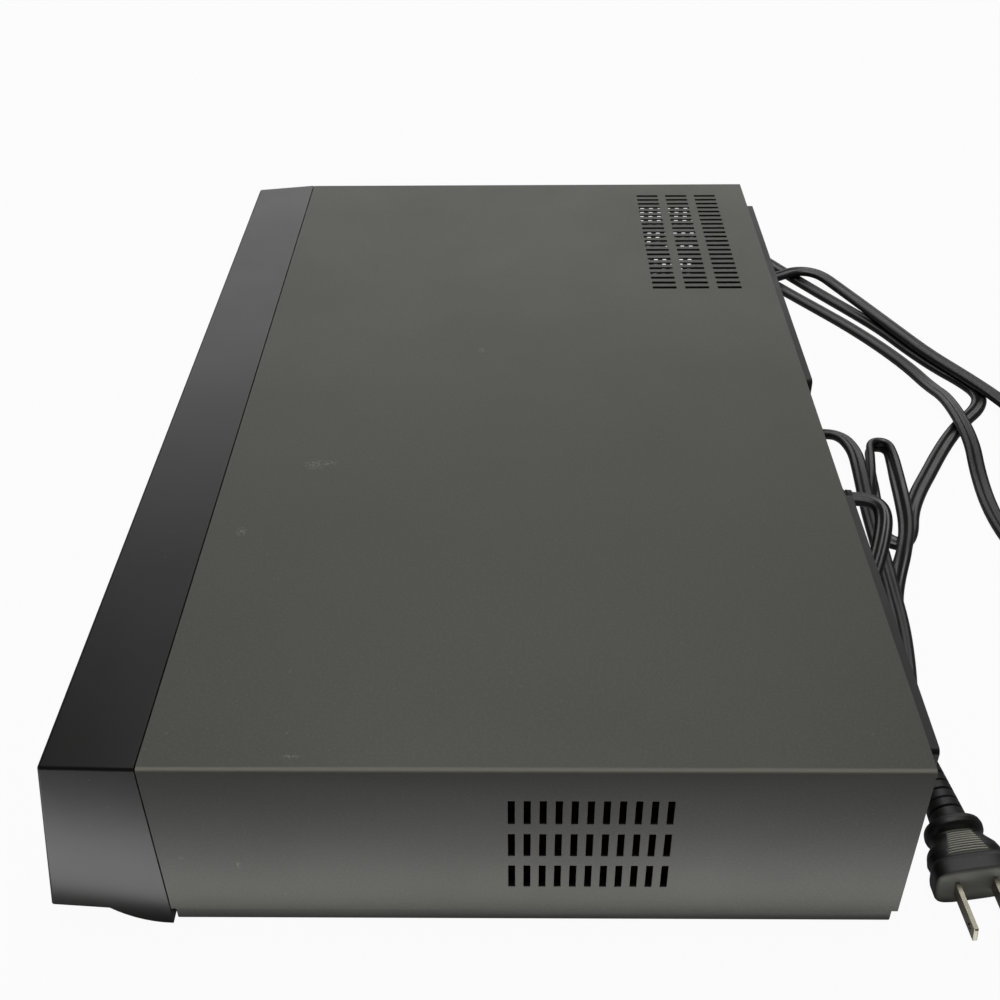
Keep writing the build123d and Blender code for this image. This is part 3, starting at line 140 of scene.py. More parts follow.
def make_mesh(name, points, faces, smooth=True):
    """An object from vertex rows and a list of face index rows."""
    mesh = bpy.data.meshes.new(name)
    mesh.from_pydata(np.asarray(points, float).tolist(), [], [list(f) for f in faces])
    mesh.update()
    mesh.shade_smooth() if smooth else mesh.shade_flat()
    piece = bpy.data.objects.new(name, mesh)
    bpy.context.scene.collection.objects.link(piece)
    return piece


def skin_faces(rows, columns):
    """Quads of a grid whose columns close on themselves: from point (i, j) to (i, j + 1),
    (i + 1, j + 1) and (i + 1, j), wound to face outwards."""
    i, j = np.meshgrid(np.arange(rows - 1), np.arange(columns), indexing="ij")
    after = (j + 1) % columns
    low, high = i * columns, (i + 1) * columns
    return np.stack([low + j, low + after, high + after, high + j], -1).reshape(-1, 4)


def skinned(name, rings):
    """A closed body through rings of equal point counts: point k of each ring joins point k of the
    next, and each end ring is closed by a fan to its middle. Rings run counter-clockwise about the
    way they advance."""
    rings = np.asarray(rings, float)
    rows, columns, _ = rings.shape
    points = np.vstack([rings.reshape(-1, 3), rings[0].mean(0), rings[-1].mean(0)])
    faces = skin_faces(rows, columns).tolist()
    k = np.arange(columns)
    low = rows * columns
    faces += np.stack([(k + 1) % columns, k, np.full(columns, low)], 1).tolist()
    high = (rows - 1) * columns
    faces += np.stack([high + k, high + (k + 1) % columns, np.full(columns, low + 1)], 1).tolist()
    return make_mesh(name, points, faces)


def sharpen(piece, degrees):
    """Keeps edges crisp where faces meet at more than an angle, and smooth elsewhere."""
    piece.data.set_sharp_from_angle(angle=radians(degrees))


def orient(piece):
    """Turns all faces of a closed mesh outwards."""
    shape = bmesh.new()
    shape.from_mesh(piece.data)
    bmesh.ops.remove_doubles(shape, verts=shape.verts, dist=NEW_DOUBLES)
    bmesh.ops.recalc_face_normals(shape, faces=shape.faces)
    shape.to_mesh(piece.data)
    shape.free()
    return piece


def settle(piece, node, material):
    """Gives a piece its material and puts it on the body of a node, in place of that node."""
    piece.data.materials.clear()
    piece.data.materials.append(material)
    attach(piece, BODY_OF[node])
    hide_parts(node)
    return piece


def refined(node, material, radius, angle=SHEET_DEGREES):
    """A copy of a node's mesh with its triangles joined, its edges slightly rounded and its curved
    faces smooth."""
    source = frame["nodes"][node]
    piece = bpy.data.objects.new(node + "_skin", source.data.copy())
    bpy.context.scene.collection.objects.link(piece)
    shape = bmesh.new()
    shape.from_mesh(piece.data)
    bmesh.ops.remove_doubles(shape, verts=shape.verts, dist=PACKED_DOUBLES)
    bmesh.ops.dissolve_limit(shape, angle_limit=radians(FLAT_DEGREES), verts=shape.verts,
                             edges=shape.edges)
    shape.to_mesh(piece.data)
    shape.free()
    piece.data.shade_smooth()
    sharpen(piece, angle)
    bevel = piece.modifiers.new("soft edges", "BEVEL")
    bevel.width = radius
    bevel.segments = BEVEL_SEGMENTS
    bevel.limit_method = "ANGLE"
    bevel.angle_limit = radians(angle)
    bevel.use_clamp_overlap = True
    bevel.harden_normals = True
    return settle(piece, node, material)


def dress(nodes, material):
    """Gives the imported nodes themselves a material."""
    for node in nodes:
        slots = frame["nodes"][node].data.materials
        slots.clear()
        slots.append(material)


# ---- Shader groups ----


# Where a Mix node keeps its factor, its two colours and its mixed colour
MIX_INPUTS = (0, 6, 7)
MIX_OUTPUT = 2


class Graph:
    """A node tree with short ways to add and join its nodes."""

    def __init__(self, tree):
        self.tree = tree

    def add(self, kind, **settings):
        node = self.tree.nodes.new(kind)
        for name, value in settings.items():
            if hasattr(node, name):
                setattr(node, name, value)
            else:
                node.inputs[name.replace("_", " ")].default_value = value
        return node

    def join(self, source, target):
        self.tree.links.new(source, target)

    def math(self, operation, first, second=None, clamp=False):
        node = self.tree.nodes.new("ShaderNodeMath")
        node.operation = operation
        node.use_clamp = clamp
        for socket, value in zip(node.inputs, (first, second)):
            if value is None:
                continue
            if isinstance(value, (int, float)):
                socket.default_value = value
            else:
                self.join(value, socket)
        return node.outputs[0]

    def noise(self, vector, scale, detail=2.0, roughness=0.5):
        node = self.add("ShaderNodeTexNoise")
        self.join(vector, node.inputs["Vector"])
        for name, value in (("Scale", scale), ("Detail", detail), ("Roughness", roughness)):
            if isinstance(value, (int, float)):
                node.inputs[name].default_value = value
            else:
                self.join(value, node.inputs[name])
        return node.outputs["Fac"]

    def ramp(self, value, low, high, to_low=0.0, to_high=1.0):
        node = self.add("ShaderNodeMapRange")
        for name, item in (("Value", value), ("From Min", low), ("From Max", high),
                           ("To Min", to_low), ("To Max", to_high)):
            if isinstance(item, (int, float)):
                node.inputs[name].default_value = item
            else:
                self.join(item, node.inputs[name])
        return node.outputs["Result"]

    def mix(self, factor, first, second):
        node = self.tree.nodes.new("ShaderNodeMix")
        node.data_type = "RGBA"
        for place, value in zip(MIX_INPUTS, (factor, first, second)):
            socket = node.inputs[place]
            if isinstance(value, (int, float)):
                socket.default_value = value
            elif isinstance(value, (tuple, list)):
                socket.default_value = (*value[:3], 1)
            else:
                self.join(value, socket)
        return node.outputs[MIX_OUTPUT]


def new_group(name, inputs, outputs):
    """An empty shader group with named sockets: (name, kind, default) and (name, kind)."""
    tree = bpy.data.node_groups.new(name, "ShaderNodeTree")
    for label, kind, default in inputs:
        socket = tree.interface.new_socket(name=label, in_out="INPUT", socket_type=kind)
        if default is not None:
            socket.default_value = default
    for label, kind in outputs:
        tree.interface.new_socket(name=label, in_out="OUTPUT", socket_type=kind)
    graph = Graph(tree)
    source = tree.nodes.new("NodeGroupInput")
    sink = tree.nodes.new("NodeGroupOutput")
    return tree, graph, source.outputs, sink.inputs


FLOAT = "NodeSocketFloat"
VECTOR = "NodeSocketVector"
COLOUR = "NodeSocketColor"


def grain_group():
    """Fine even grain: a tight noise, sharpened, as a height and as a mask of the proud grains."""
    tree, g, source, sink = new_group(
        "Fine grain",
        [("Vector", VECTOR, None), ("Scale", FLOAT, 1000.0), ("Sharpness", FLOAT, 0.5)],
        [("Height", FLOAT), ("Mask", FLOAT)])
    fine = g.noise(source["Vector"], source["Scale"], 2.0, source["Sharpness"])
    g.join(fine, sink["Height"])
    g.join(g.ramp(fine, 0.5, 0.72), sink["Mask"])
    return tree


def tone_group():
    """Two close colours mixed by a broad soft noise."""
    tree, g, source, sink = new_group(
        "Uneven tone",
        [("Vector", VECTOR, None), ("Dark", COLOUR, (0, 0, 0, 1)),
         ("Light", COLOUR, (1, 1, 1, 1)), ("Scale", FLOAT, 20.0)],
        [("Color", COLOUR)])
    broad = g.noise(source["Vector"], source["Scale"], 3.0)
    g.join(g.mix(g.ramp(broad, 0.3, 0.7), source["Dark"], source["Light"]), sink["Color"])
    return tree


def handled_group():
    """Where hands and cloths have been: a roughness that wanders between two values."""
    tree, g, source, sink = new_group(
        "Handled surface",
        [("Vector", VECTOR, None), ("Low", FLOAT, 0.4), ("High", FLOAT, 0.5),
         ("Scale", FLOAT, 12.0)],
        [("Roughness", FLOAT)])
    smear = g.noise(source["Vector"], source["Scale"], 4.0, 0.62)
    g.join(g.ramp(smear, 0.32, 0.68, source["Low"], source["High"]), sink["Roughness"])
    return tree


def scuff_group():
    """One rubbed mark: a soft ellipse about a place on the surface, broken up by a noise."""
    tree, g, source, sink = new_group(
        "Rubbed mark",
        [("Vector", VECTOR, None), ("Place", VECTOR, (0, 0, 0)), ("Stretch", VECTOR, (1, 1, 1)),
         ("Radius", FLOAT, 0.004), ("Break", FLOAT, 900.0)],
        [("Mask", FLOAT)])
    away = g.add("ShaderNodeVectorMath", operation="SUBTRACT")
    g.join(source["Vector"], away.inputs[0])
    g.join(source["Place"], away.inputs[1])
    scaled = g.add("ShaderNodeVectorMath", operation="MULTIPLY")
    g.join(away.outputs[0], scaled.inputs[0])
    g.join(source["Stretch"], scaled.inputs[1])
    length = g.add("ShaderNodeVectorMath", operation="LENGTH")
    g.join(scaled.outputs[0], length.inputs[0])
    inside = g.ramp(length.outputs["Value"], 0.0, source["Radius"], 1.0, 0.0)
    broken = g.ramp(g.noise(source["Vector"], source["Break"], 3.0), 0.45, 0.6)
    g.join(g.math("MULTIPLY", inside, broken, clamp=True), sink["Mask"])
    return tree


def dust_group():
    """Dust: a small speck at the middle of a chosen share of Voronoi cells."""
    tree, g, source, sink = new_group(
        "Dust specks",
        [("Vector", VECTOR, None), ("Scale", FLOAT, 260.0), ("Amount", FLOAT, 0.3)],
        [("Mask", FLOAT)])
    speck = g.add("ShaderNodeTexVoronoi", feature="F1")
    g.join(source["Vector"], speck.inputs["Vector"])
    g.join(source["Scale"], speck.inputs["Scale"])
    near = g.ramp(speck.outputs["Distance"], 0.03, 0.1, 1.0, 0.0)
    cell = g.add("ShaderNodeSeparateColor")
    g.join(speck.outputs["Color"], cell.inputs[0])
    chosen = g.math("LESS_THAN", cell.outputs[0], source["Amount"])
    g.join(g.math("MULTIPLY", near, chosen, clamp=True), sink["Mask"])
    return tree


GROUPS = {}


def use(g, label, vector, **values):
    """Places a shared group in a material, with its values."""
    node = g.tree.nodes.new("ShaderNodeGroup")
    node.node_tree = GROUPS[label]
    g.join(vector, node.inputs["Vector"])
    for name, value in values.items():
        socket = node.inputs[name]
        if isinstance(value, (int, float)):
            socket.default_value = value
        elif isinstance(value, (tuple, list)):
            socket.default_value = tuple(value) if socket.type == "VECTOR" else (*value[:3], 1)
        else:
            g.join(value, socket)
    return node.outputs


def new_material(name):
    """A material with one Principled shader: its graph, the shader and object coordinates."""
    material = bpy.data.materials.new(name)
    material.use_nodes = True
    tree = material.node_tree
    g = Graph(tree)
    shader = tree.nodes["Principled BSDF"]
    place = tree.nodes.new("ShaderNodeTexCoord").outputs["Object"]
    return material, g, shader, place


def bump(g, shader, height, distance):
    """Feeds a height through a Bump node to the shader's normal, distance in metres."""
    node = g.add("ShaderNodeBump")
    node.inputs["Distance"].default_value = distance
    node.inputs["Strength"].default_value = 1.0
    g.join(height, node.inputs["Height"])
    g.join(node.outputs["Normal"], shader.inputs["Normal"])


SMEARS = 14.0
DUST_COLOUR = (0.35, 0.35, 0.33)


def finish(name, dark, light, rough, grain, height, tone, metallic=0.0, coat=0.0, dust=0.0):
    """A plain finish: uneven tone, wandering roughness, fine grain and, where asked, dust."""
    material, g, shader, place = new_material(name)
    colour = use(g, "tone", place, Dark=linear(dark), Light=linear(light), Scale=tone)["Color"]
    if dust:
        specks = use(g, "dust", place, Amount=dust)["Mask"]
        colour = g.mix(g.math("MULTIPLY", specks, 0.5), colour, DUST_COLOUR)
    g.join(colour, shader.inputs["Base Color"])
    g.join(use(g, "handled", place, Low=rough[0], High=rough[1], Scale=SMEARS)["Roughness"],
           shader.inputs["Roughness"])
    shader.inputs["Metallic"].default_value = metallic
    shader.inputs["Coat Weight"].default_value = coat
    bump(g, shader, use(g, "grain", place, Scale=grain)["Height"], height)
    return material


# Name, dark and light colour, lowest and highest roughness, scale of the grain, its height in
# metres, and scale of the tone
PLAIN_FINISHES = {
    "plated_sheet": ("Plated sheet", "77776f", "86867f", (0.34, 0.5), 400, 0.00001, 9),
    "pan_paint": ("Pan sheet", "3b3b37", "454540", (0.42, 0.55), 1100, 0.00002, 12),
    "rear_paint": ("Rear panel paint", "121212", "191918", (0.42, 0.55), 1300, 0.00003, 18),
    "rubber": ("Foot rubber", "141413", "1c1c1a", (0.6, 0.75), 900, 0.00003, 40),
    "black_screw": ("Blackened screw", "1a1a19", "2a2a28", (0.3, 0.45), 1500, 0.00001, 60),
    "steel_screw": ("Bright screw", "a9a79f", "c0beb5", (0.22, 0.36), 1500, 0.00001, 60),
    "nickel": ("Nickel plate", "b9b6ab", "cbc8bf", (0.16, 0.3), 1400, 0.000006, 60),
    "blade": ("Worn blade", "858173", "9a9686", (0.3, 0.45), 900, 0.00002, 140),
    "motor_can": ("Motor can", "9a9a96", "b0b0ab", (0.25, 0.4), 700, 0.000008, 30),
    "fins": ("Extruded fins", "a2a4a5", "b4b6b7", (0.3, 0.45), 500, 0.000012, 30),
    "dark_mould": ("Dark moulding", "151515", "1d1d1c", (0.45, 0.6), 1000, 0.00003, 22),
    "tray_mould": ("Tray moulding", "1a1a1a", "212120", (0.5, 0.62), 1600, 0.00004, 18),
    "chip": ("Chip body", "141414", "1b1b1b", (0.5, 0.65), 2400, 0.00002, 80),
    "ferrite": ("Ferrite", "2c2b2a", "383635", (0.5, 0.7), 1800, 0.00003, 60),
    "copper_wire": ("Enamelled wire", "8a4a1e", "a8602a", (0.25, 0.4), 800, 0.00006, 300),
    "white_gear": ("Natural acetal", "cfcdbf", "dad8cb", (0.4, 0.5), 900, 0.00001, 50),
    "clamper": ("Clamp plastic", "c6c4b8", "d2d0c6", (0.42, 0.52), 900, 0.00001, 50),
    "belt": ("Belt rubber", "131312", "1b1b19", (0.5, 0.62), 1200, 0.00001, 80),
    "ribbon": ("Flat cable", "d8d7cf", "e2e1da", (0.35, 0.5), 600, 0.00001, 40),
    "switch": ("Switch body", "202020", "2a2a29", (0.4, 0.55), 1500, 0.00001, 90),
    "pickup": ("Cast pickup", "30302f", "3d3d3b", (0.4, 0.55), 1200, 0.00004, 50),
    "relief": ("Relief rubber", "141413", "1c1c1a", (0.45, 0.6), 1200, 0.00002, 60),
}
METALLIC = {
    "plated_sheet": 0.85, "black_screw": 0.9, "steel_screw": 1.0, "nickel": 1.0, "blade": 0.85,
    "motor_can": 1.0, "fins": 1.0, "copper_wire": 0.7, "pickup": 0.4,
}
DUSTY = {"rear_paint": 0.12}
RING_COLOURS = {
    "white": ("c9c8c1", "d6d5cf"),
    "red": ("a01212", "b51c18"),
    "yellow": ("c99a08", "d8aa14"),
    "green": ("1d6b2c", "26793a"),
    "blue": ("1c3c96", "2748a8"),
}


def make_finishes():
    """Builds the shared groups and every finish of the player."""
    GROUPS.update(grain=grain_group(), tone=tone_group(), handled=handled_group(),
                  scuff=scuff_group(), dust=dust_group())
    case = bpy.context.scene.player_case
    finishes = {
        key: finish(*row, metallic=METALLIC.get(key, 0.0), dust=DUSTY.get(key, 0.0))
        for key, row in PLAIN_FINISHES.items()
    }
    for colour, (dark, light) in RING_COLOURS.items():
        finishes[colour] = finish(colour.capitalize() + " ring", dark, light, (0.3, 0.42), 900,
                                  0.00001, 60, coat=0.2)
    finishes["cover_paint"] = cover_paint(case)
    finishes["front_plastic"] = front_plastic(case)
    finishes["window"] = window_finish()
    finishes["tube"] = tube_finish()
    finishes["lens"] = lens_finish()
    finishes["board"] = board_finish()
    finishes["can"] = can_finish()
    finishes["sheath"] = sheath_finish()
    finishes["plug"] = plug_finish()
    return finishes


# Where the painted highlight on the cover's near top bend fades in, in metres: from none to full
PAINTED_HIGHLIGHT_X = (0.2137, 0.2145)
PAINTED_HIGHLIGHT_Z = (0.0784, 0.0792)


def cover_paint(case):
    """Satin paint with a fine raised grain, faint smears, a few rubbed marks, specks of dust and a
    painted highlight: a lighter line along the near top bend."""
    material, g, shader, place = new_material("Cover paint")
    grain = use(g, "grain", place, Scale=1.0 / case.grain, Sharpness=0.6)
    toned = use(g, "tone", place, Dark=tuple(case.paint),
                Light=tuple(c * 1.08 for c in case.paint), Scale=7.0)["Color"]
    colour = g.mix(g.math("MULTIPLY", grain["Mask"], 0.55), toned, tuple(case.paint_light))
    marks = None
    for spot, radius, stretch in COVER_MARKS:
        mask = use(g, "scuff", place, Place=tuple(c * MM for c in spot), Stretch=stretch,
                   Radius=radius * MM)["Mask"]
        marks = mask if marks is None else g.math("MAXIMUM", marks, mask)
    specks = use(g, "dust", place, Scale=150.0, Amount=0.10)["Mask"]
    rubbed = g.math("ADD", g.math("MULTIPLY", marks, 0.5), g.math("MULTIPLY", specks, 0.14),
                    clamp=True)
    colour = g.mix(rubbed, colour, linear("9a998f"))
    # Painted highlight: a lighter colour along the cover's near top bend, standing in for light
    # caught there
    axes = g.add("ShaderNodeSeparateXYZ")
    g.join(place, axes.inputs[0])
    painted_highlight = g.math("MULTIPLY", g.ramp(axes.outputs["X"], *PAINTED_HIGHLIGHT_X),
                  g.ramp(axes.outputs["Z"], *PAINTED_HIGHLIGHT_Z), clamp=True)
    g.join(g.mix(painted_highlight, colour, linear("b4b3a6")), shader.inputs["Base Color"])
    g.join(use(g, "handled", place, Low=0.44, High=0.52, Scale=9.0)["Roughness"],
           shader.inputs["Roughness"])
    bump(g, shader, grain["Height"], 0.00005)
    return material


def front_plastic(case):
    """Moulded black plastic, a little glossier than the paint, with a very fine grain."""
    material, g, shader, place = new_material("Front plastic")
    toned = use(g, "tone", place, Dark=tuple(case.plastic),
                Light=tuple(c * 1.15 for c in case.plastic), Scale=6.0)["Color"]
    specks = use(g, "dust", place, Scale=220.0, Amount=0.10)["Mask"]
    g.join(g.mix(g.math("MULTIPLY", specks, 0.25), toned, linear("8a8a84")),
           shader.inputs["Base Color"])
    g.join(use(g, "handled", place, Low=0.30, High=0.37, Scale=10.0)["Roughness"],
           shader.inputs["Roughness"])
    bump(g, shader, use(g, "grain", place, Scale=2200.0)["Height"], 0.000012)
    return material


def window_finish():
    """Smoked display window: near black, smooth, with a clear coat."""
    material, g, shader, place = new_material("Smoked window")
    g.join(use(g, "tone", place, Dark=linear("08080a"), Light=linear("0d0d10"), Scale=9.0)["Color"],
           shader.inputs["Base Color"])
    g.join(use(g, "handled", place, Low=0.07, High=0.13, Scale=20.0)["Roughness"],
           shader.inputs["Roughness"])
    shader.inputs["Coat Weight"].default_value = 0.6
    shader.inputs["Coat Roughness"].default_value = 0.04
    return material


def tube_finish():
    """Display tube: grey-green glass in fine bands, as of the grids behind it."""
    material, g, shader, place = new_material("Display tube")
    wave = g.add("ShaderNodeTexWave", wave_type="BANDS", bands_direction="X")
    g.join(place, wave.inputs["Vector"])
    wave.inputs["Scale"].default_value = 160.0
    g.join(g.mix(wave.outputs["Fac"], linear("2c3734"), linear("41504b")),
           shader.inputs["Base Color"])
    g.join(use(g, "handled", place, Low=0.06, High=0.14)["Roughness"], shader.inputs["Roughness"])
    shader.inputs["Coat Weight"].default_value = 0.5
    return material


def lens_finish():
    """Coated lens: deep blue with a violet edge."""
    material, g, shader, place = new_material("Coated lens")
    edge = g.add("ShaderNodeLayerWeight")
    edge.inputs["Blend"].default_value = 0.35
    g.join(g.mix(edge.outputs["Facing"], linear("1b2b6b"), linear("5a3d8f")),
           shader.inputs["Base Color"])
    g.join(use(g, "handled", place, Low=0.03, High=0.06)["Roughness"], shader.inputs["Roughness"])
    shader.inputs["Coat Weight"].default_value = 0.8
    return material


def board_finish():
    """Brown board: a mottled ground with darker tracks laid out in blocks and small pale joints."""
    material, g, shader, place = new_material("Circuit board")
    ground = use(g, "tone", place, Dark=linear("7a5226"), Light=linear("8c6232"),
                 Scale=30.0)["Color"]
    tracks = g.add("ShaderNodeTexBrick")
    tracks.inputs["Color1"].default_value = (0, 0, 0, 1)
    tracks.inputs["Color2"].default_value = (0.25, 0.25, 0.25, 1)
    tracks.inputs["Mortar"].default_value = (1, 1, 1, 1)
    tracks.inputs["Scale"].default_value = 90.0
    tracks.inputs["Mortar Size"].default_value = 0.05
    g.join(place, tracks.inputs["Vector"])
    lane = g.add("ShaderNodeSeparateColor")
    g.join(tracks.outputs["Color"], lane.inputs[0])
    colour = g.mix(g.math("MULTIPLY", lane.outputs[0], 0.55), ground, linear("4e3316"))
    dots = g.add("ShaderNodeTexVoronoi", feature="F1")
    g.join(place, dots.inputs["Vector"])
    dots.inputs["Scale"].default_value = 210.0
    joint = g.ramp(dots.outputs["Distance"], 0.16, 0.2, 1.0, 0.0)
    g.join(g.mix(g.math("MULTIPLY", joint, 0.7), colour, linear("b6b2a4")),
           shader.inputs["Base Color"])
    g.join(use(g, "handled", place, Low=0.38, High=0.5)["Roughness"], shader.inputs["Roughness"])
    bump(g, shader, lane.outputs[0], 0.00004)
    return material


def can_finish():
    """Capacitor sleeve: dark blue-black, with a bare aluminium top."""
    material, g, shader, place = new_material("Capacitor sleeve")
    normal = g.tree.nodes.new("ShaderNodeNewGeometry").outputs["Normal"]
    axis = g.add("ShaderNodeSeparateXYZ")
    g.join(normal, axis.inputs[0])
    top = g.ramp(axis.outputs["Z"], 0.85, 0.95)
    sleeve = use(g, "tone", place, Dark=linear("14182a"), Light=linear("1c2138"),
                 Scale=40.0)["Color"]
    g.join(g.mix(top, sleeve, linear("b4b4b0")), shader.inputs["Base Color"])
    g.join(g.math("MULTIPLY", top, 0.9), shader.inputs["Metallic"])
    g.join(use(g, "handled", place, Low=0.25, High=0.38)["Roughness"], shader.inputs["Roughness"])
    return material


def sheath_finish():
    """Black cord sheath: soft gloss, a trace of dust and a fine grain."""
    material, g, shader, place = new_material("Lead sheath")
    rubber = tuple(bpy.context.scene.player_cord.rubber)
    toned = use(g, "tone", place, Dark=rubber, Light=tuple(c * 1.5 for c in rubber),
                Scale=30.0)["Color"]
    specks = use(g, "dust", place, Scale=300.0, Amount=0.12)["Mask"]
    g.join(g.mix(g.math("MULTIPLY", specks, 0.3), toned, linear("8b8b86")),
           shader.inputs["Base Color"])
    g.join(use(g, "handled", place, Low=0.30, High=0.42, Scale=40.0)["Roughness"],
           shader.inputs["Roughness"])
    shader.inputs["Specular IOR Level"].default_value = 0.8
    bump(g, shader, use(g, "grain", place, Scale=500.0)["Height"], 0.00002)
    return material


def plug_finish():
    """Plug rubber: black, with its face turned greyer by handling and a painted highlight on the
    crests of the grip's ribs.
    """
    material, g, shader, place = new_material("Plug rubber")
    rubber = tuple(bpy.context.scene.player_cord.rubber)
    worn_and_highlight = g.tree.nodes.new("ShaderNodeAttribute")
    worn_and_highlight.attribute_name = "worn_and_highlight"
    toned = use(g, "tone", place, Dark=rubber, Light=tuple(c * 1.6 for c in rubber),
                Scale=60.0)["Color"]
    # Lighter grey on the worn face and as a painted highlight on the rib crests
    g.join(g.mix(worn_and_highlight.outputs["Fac"], toned, linear("d0d0c2")), shader.inputs["Base Color"])
    g.join(use(g, "handled", place, Low=0.4, High=0.52, Scale=40.0)["Roughness"],
           shader.inputs["Roughness"])
    bump(g, shader, use(g, "grain", place, Scale=900.0)["Height"], 0.00002)
    return material


# Rubbed marks on the cover: place in millimetres, radius, and the stretch that narrows it
COVER_MARKS = [
    ((57.5, -71, 80), 4.2, (1, 0.8, 1)),
    ((56.5, -66, 80), 2.6, (1.2, 0.6, 1)),
    ((100.5, -93, 80), 3.4, (1, 1.4, 1)),
    ((-31.3, -6.7, 80), 3.0, (1, 1.5, 1)),
    ((-89.3, -121.2, 80), 3.0, (1, 1, 1)),
    ((209.9, -59.4, 80), 2.6, (2.2, 0.7, 1)),
    ((215, -80.3, 34.7), 1.7, (1, 1, 1)),
    ((215, -66.8, 20.2), 1.3, (1, 1.6, 1)),
    ((215, -98.1, 38.1), 1.2, (1, 1, 1)),
]


# ---- The cord: its route in millimetres, close to the part's own tube ----

# Heights of the lead's middle: on the floor, over another run and over another run on edge
FLOOR = 2.1
OVER = 6.4
ON_EDGE = 8.3
ROUTE = [
    (14, 157.2, 30), (14, 166, 30), (20, 171.5, 27.5), (34, 168, 19.5), (50, 160.5, 9),
    (66, 157, FLOOR + 0.5), (78, 156.8, FLOOR), (85, 162.5, FLOOR), (81, 169.5, FLOOR),
    (66, 171, FLOOR), (53, 172, FLOOR), (39, 176, 3.2), (24, 182.5, 7.9), (6, 188, ON_EDGE),
    (-14, 190.5, ON_EDGE), (-36, 193.5, 5.4), (-53, 195.6, 4.2), (-65.5, 195.8, 4.2),
    (-66, 186.5, 4.2), (-53, 184.6, 4.2), (-37, 182.5, 4.2), (-20, 179.2, 3.2),
    (-4, 177.8, FLOOR), (8, 178.2, FLOOR), (12.5, 185.2, FLOOR), (4, 191, FLOOR),
    (-12, 195, FLOOR), (-28, 202.3, FLOOR), (-44, 211.5, FLOOR), (-60, 220.5, FLOOR),
    (-76, 230.5, FLOOR), (-90, 241, FLOOR), (-102, 252, FLOOR), (-115, 257, FLOOR),
    (-128, 251.5, FLOOR), (-143, 241, FLOOR), (-163, 230.5, FLOOR), (-186, 220.5, FLOOR),
    (-208, 207, FLOOR), (-230, 193, FLOOR), (-254, 178.5, FLOOR), (-284, 161.25, FLOOR),
    (-303, 142.8, FLOOR), (-310, 120.25, FLOOR), (-299, 96.5, FLOOR), (-274, 89.2, FLOOR),
    (-250, 102.25, OVER), (-239, 128.25, OVER), (-237, 150.25, OVER), (-243.5, 167.5, OVER),
    (-253, 181.5, OVER), (-249, 195, OVER), (-234, 204.5, 4.4), (-209, 214.5, 5.2),
    (-180, 225, OVER + 0.3), (-152, 237.5, OVER), (-128, 251.5, OVER), (-106, 263, OVER),
    (-82, 273.5, OVER - 1.5), (-52, 284.25, FLOOR), (-16, 290.6, FLOOR), (16, 286, FLOOR),
    (38, 269.25, FLOOR), (36, 248, FLOOR), (16, 236, FLOOR), (-12, 233, FLOOR),
    (-42, 235.2, FLOOR + 0.4), (-68, 238.2, OVER + 0.4), (-104, 236.4, OVER + 0.4),
    (-124, 232, FLOOR + 0.4), (-144, 226, FLOOR), (-168, 214.7, FLOOR), (-191, 201.4, FLOOR),
    (-208, 190, FLOOR), (-227, 177, FLOOR), (-247, 163.8, FLOOR), (-264, 151, FLOOR),
    (-272, 133, FLOOR), (-262, 116, FLOOR), (-241, 113, FLOOR), (-227, 126, FLOOR),
    (-220, 143, FLOOR), (-200, 149.5, FLOOR), (-174, 151, FLOOR), (-146, 150, FLOOR),
    (-114, 148, FLOOR), (-92, 150, FLOOR), (-76, 159, 3.6), (-69, 171.5, 8.5), (-53, 176, 9.8),
    (-32, 174.6, 10), (-8, 173.4, 7.4), (20, 172.8, OVER), (46, 171.2, OVER + 0.5),
    (72, 170, OVER + 0.2), (96, 166.5, OVER), (114, 162.3, 8.6), (133.2, 157.44, 11.69),
    (147.15, 158.53, 11.45),
]
# How far the lead is rolled about its own line, in degrees, near some points of the route
ROLLS = {0: 0, 5: 0, 10: 0, 11: 14, 12: 42, 15: 48, 16: 62, 17: 84, 18: 90, 19: 90, 20: 70, 21: 20,
         22: 0, 87: 0, 88: 14, 90: 10, 92: 0, 98: 7}
# How far each core's circle is followed either way from its outer side, before the groove
LOBE_REACH = radians(134)


def route_curve():
    """The route as one NURBS curve whose control points are the route's own."""
    data = bpy.data.curves.new("cord_route", "CURVE")
    data.dimensions = "3D"
    data.resolution_u = 8
    spline = data.splines.new("NURBS")
    spline.points.add(len(ROUTE) - 1)
    places = np.c_[np.array(ROUTE) * MM, np.ones(len(ROUTE))]
    spline.points.foreach_set("co", places.ravel())
    spline.order_u = 3
    spline.use_endpoint_u = True
    curve = bpy.data.objects.new("cord_route", data)
    bpy.context.scene.collection.objects.link(curve)
    return curve


def path_points(curve):
    """The points of a curve's own line, in order, without doubled ones."""
    line = bpy.data.meshes.new_from_object(curve)
    points = np.zeros(len(line.vertices) * 3)
    line.vertices.foreach_get("co", points)
    bpy.data.meshes.remove(line)
    points = points.reshape(-1, 3)
    step = np.linalg.norm(np.diff(points, axis=0), axis=1)
    return points[np.r_[True, step > PATH_DOUBLES]]


def lead_profile(width, thickness, count=20):
    """Section of a flat two-core lead: two circles of the lead's thickness side by side, each
    followed for LOBE_REACH either way from its outer side, so that a groove runs between them:
    x = offset + radius cos(a) and y = radius sin(a), then both negated. Counter-clockwise."""
    radius = thickness / 2
    offset = width / 2 - radius
    right = np.linspace(-LOBE_REACH, LOBE_REACH, count)
    lobe = np.c_[offset + radius * np.cos(right), radius * np.sin(right)]
    return np.vstack([lobe, -lobe])


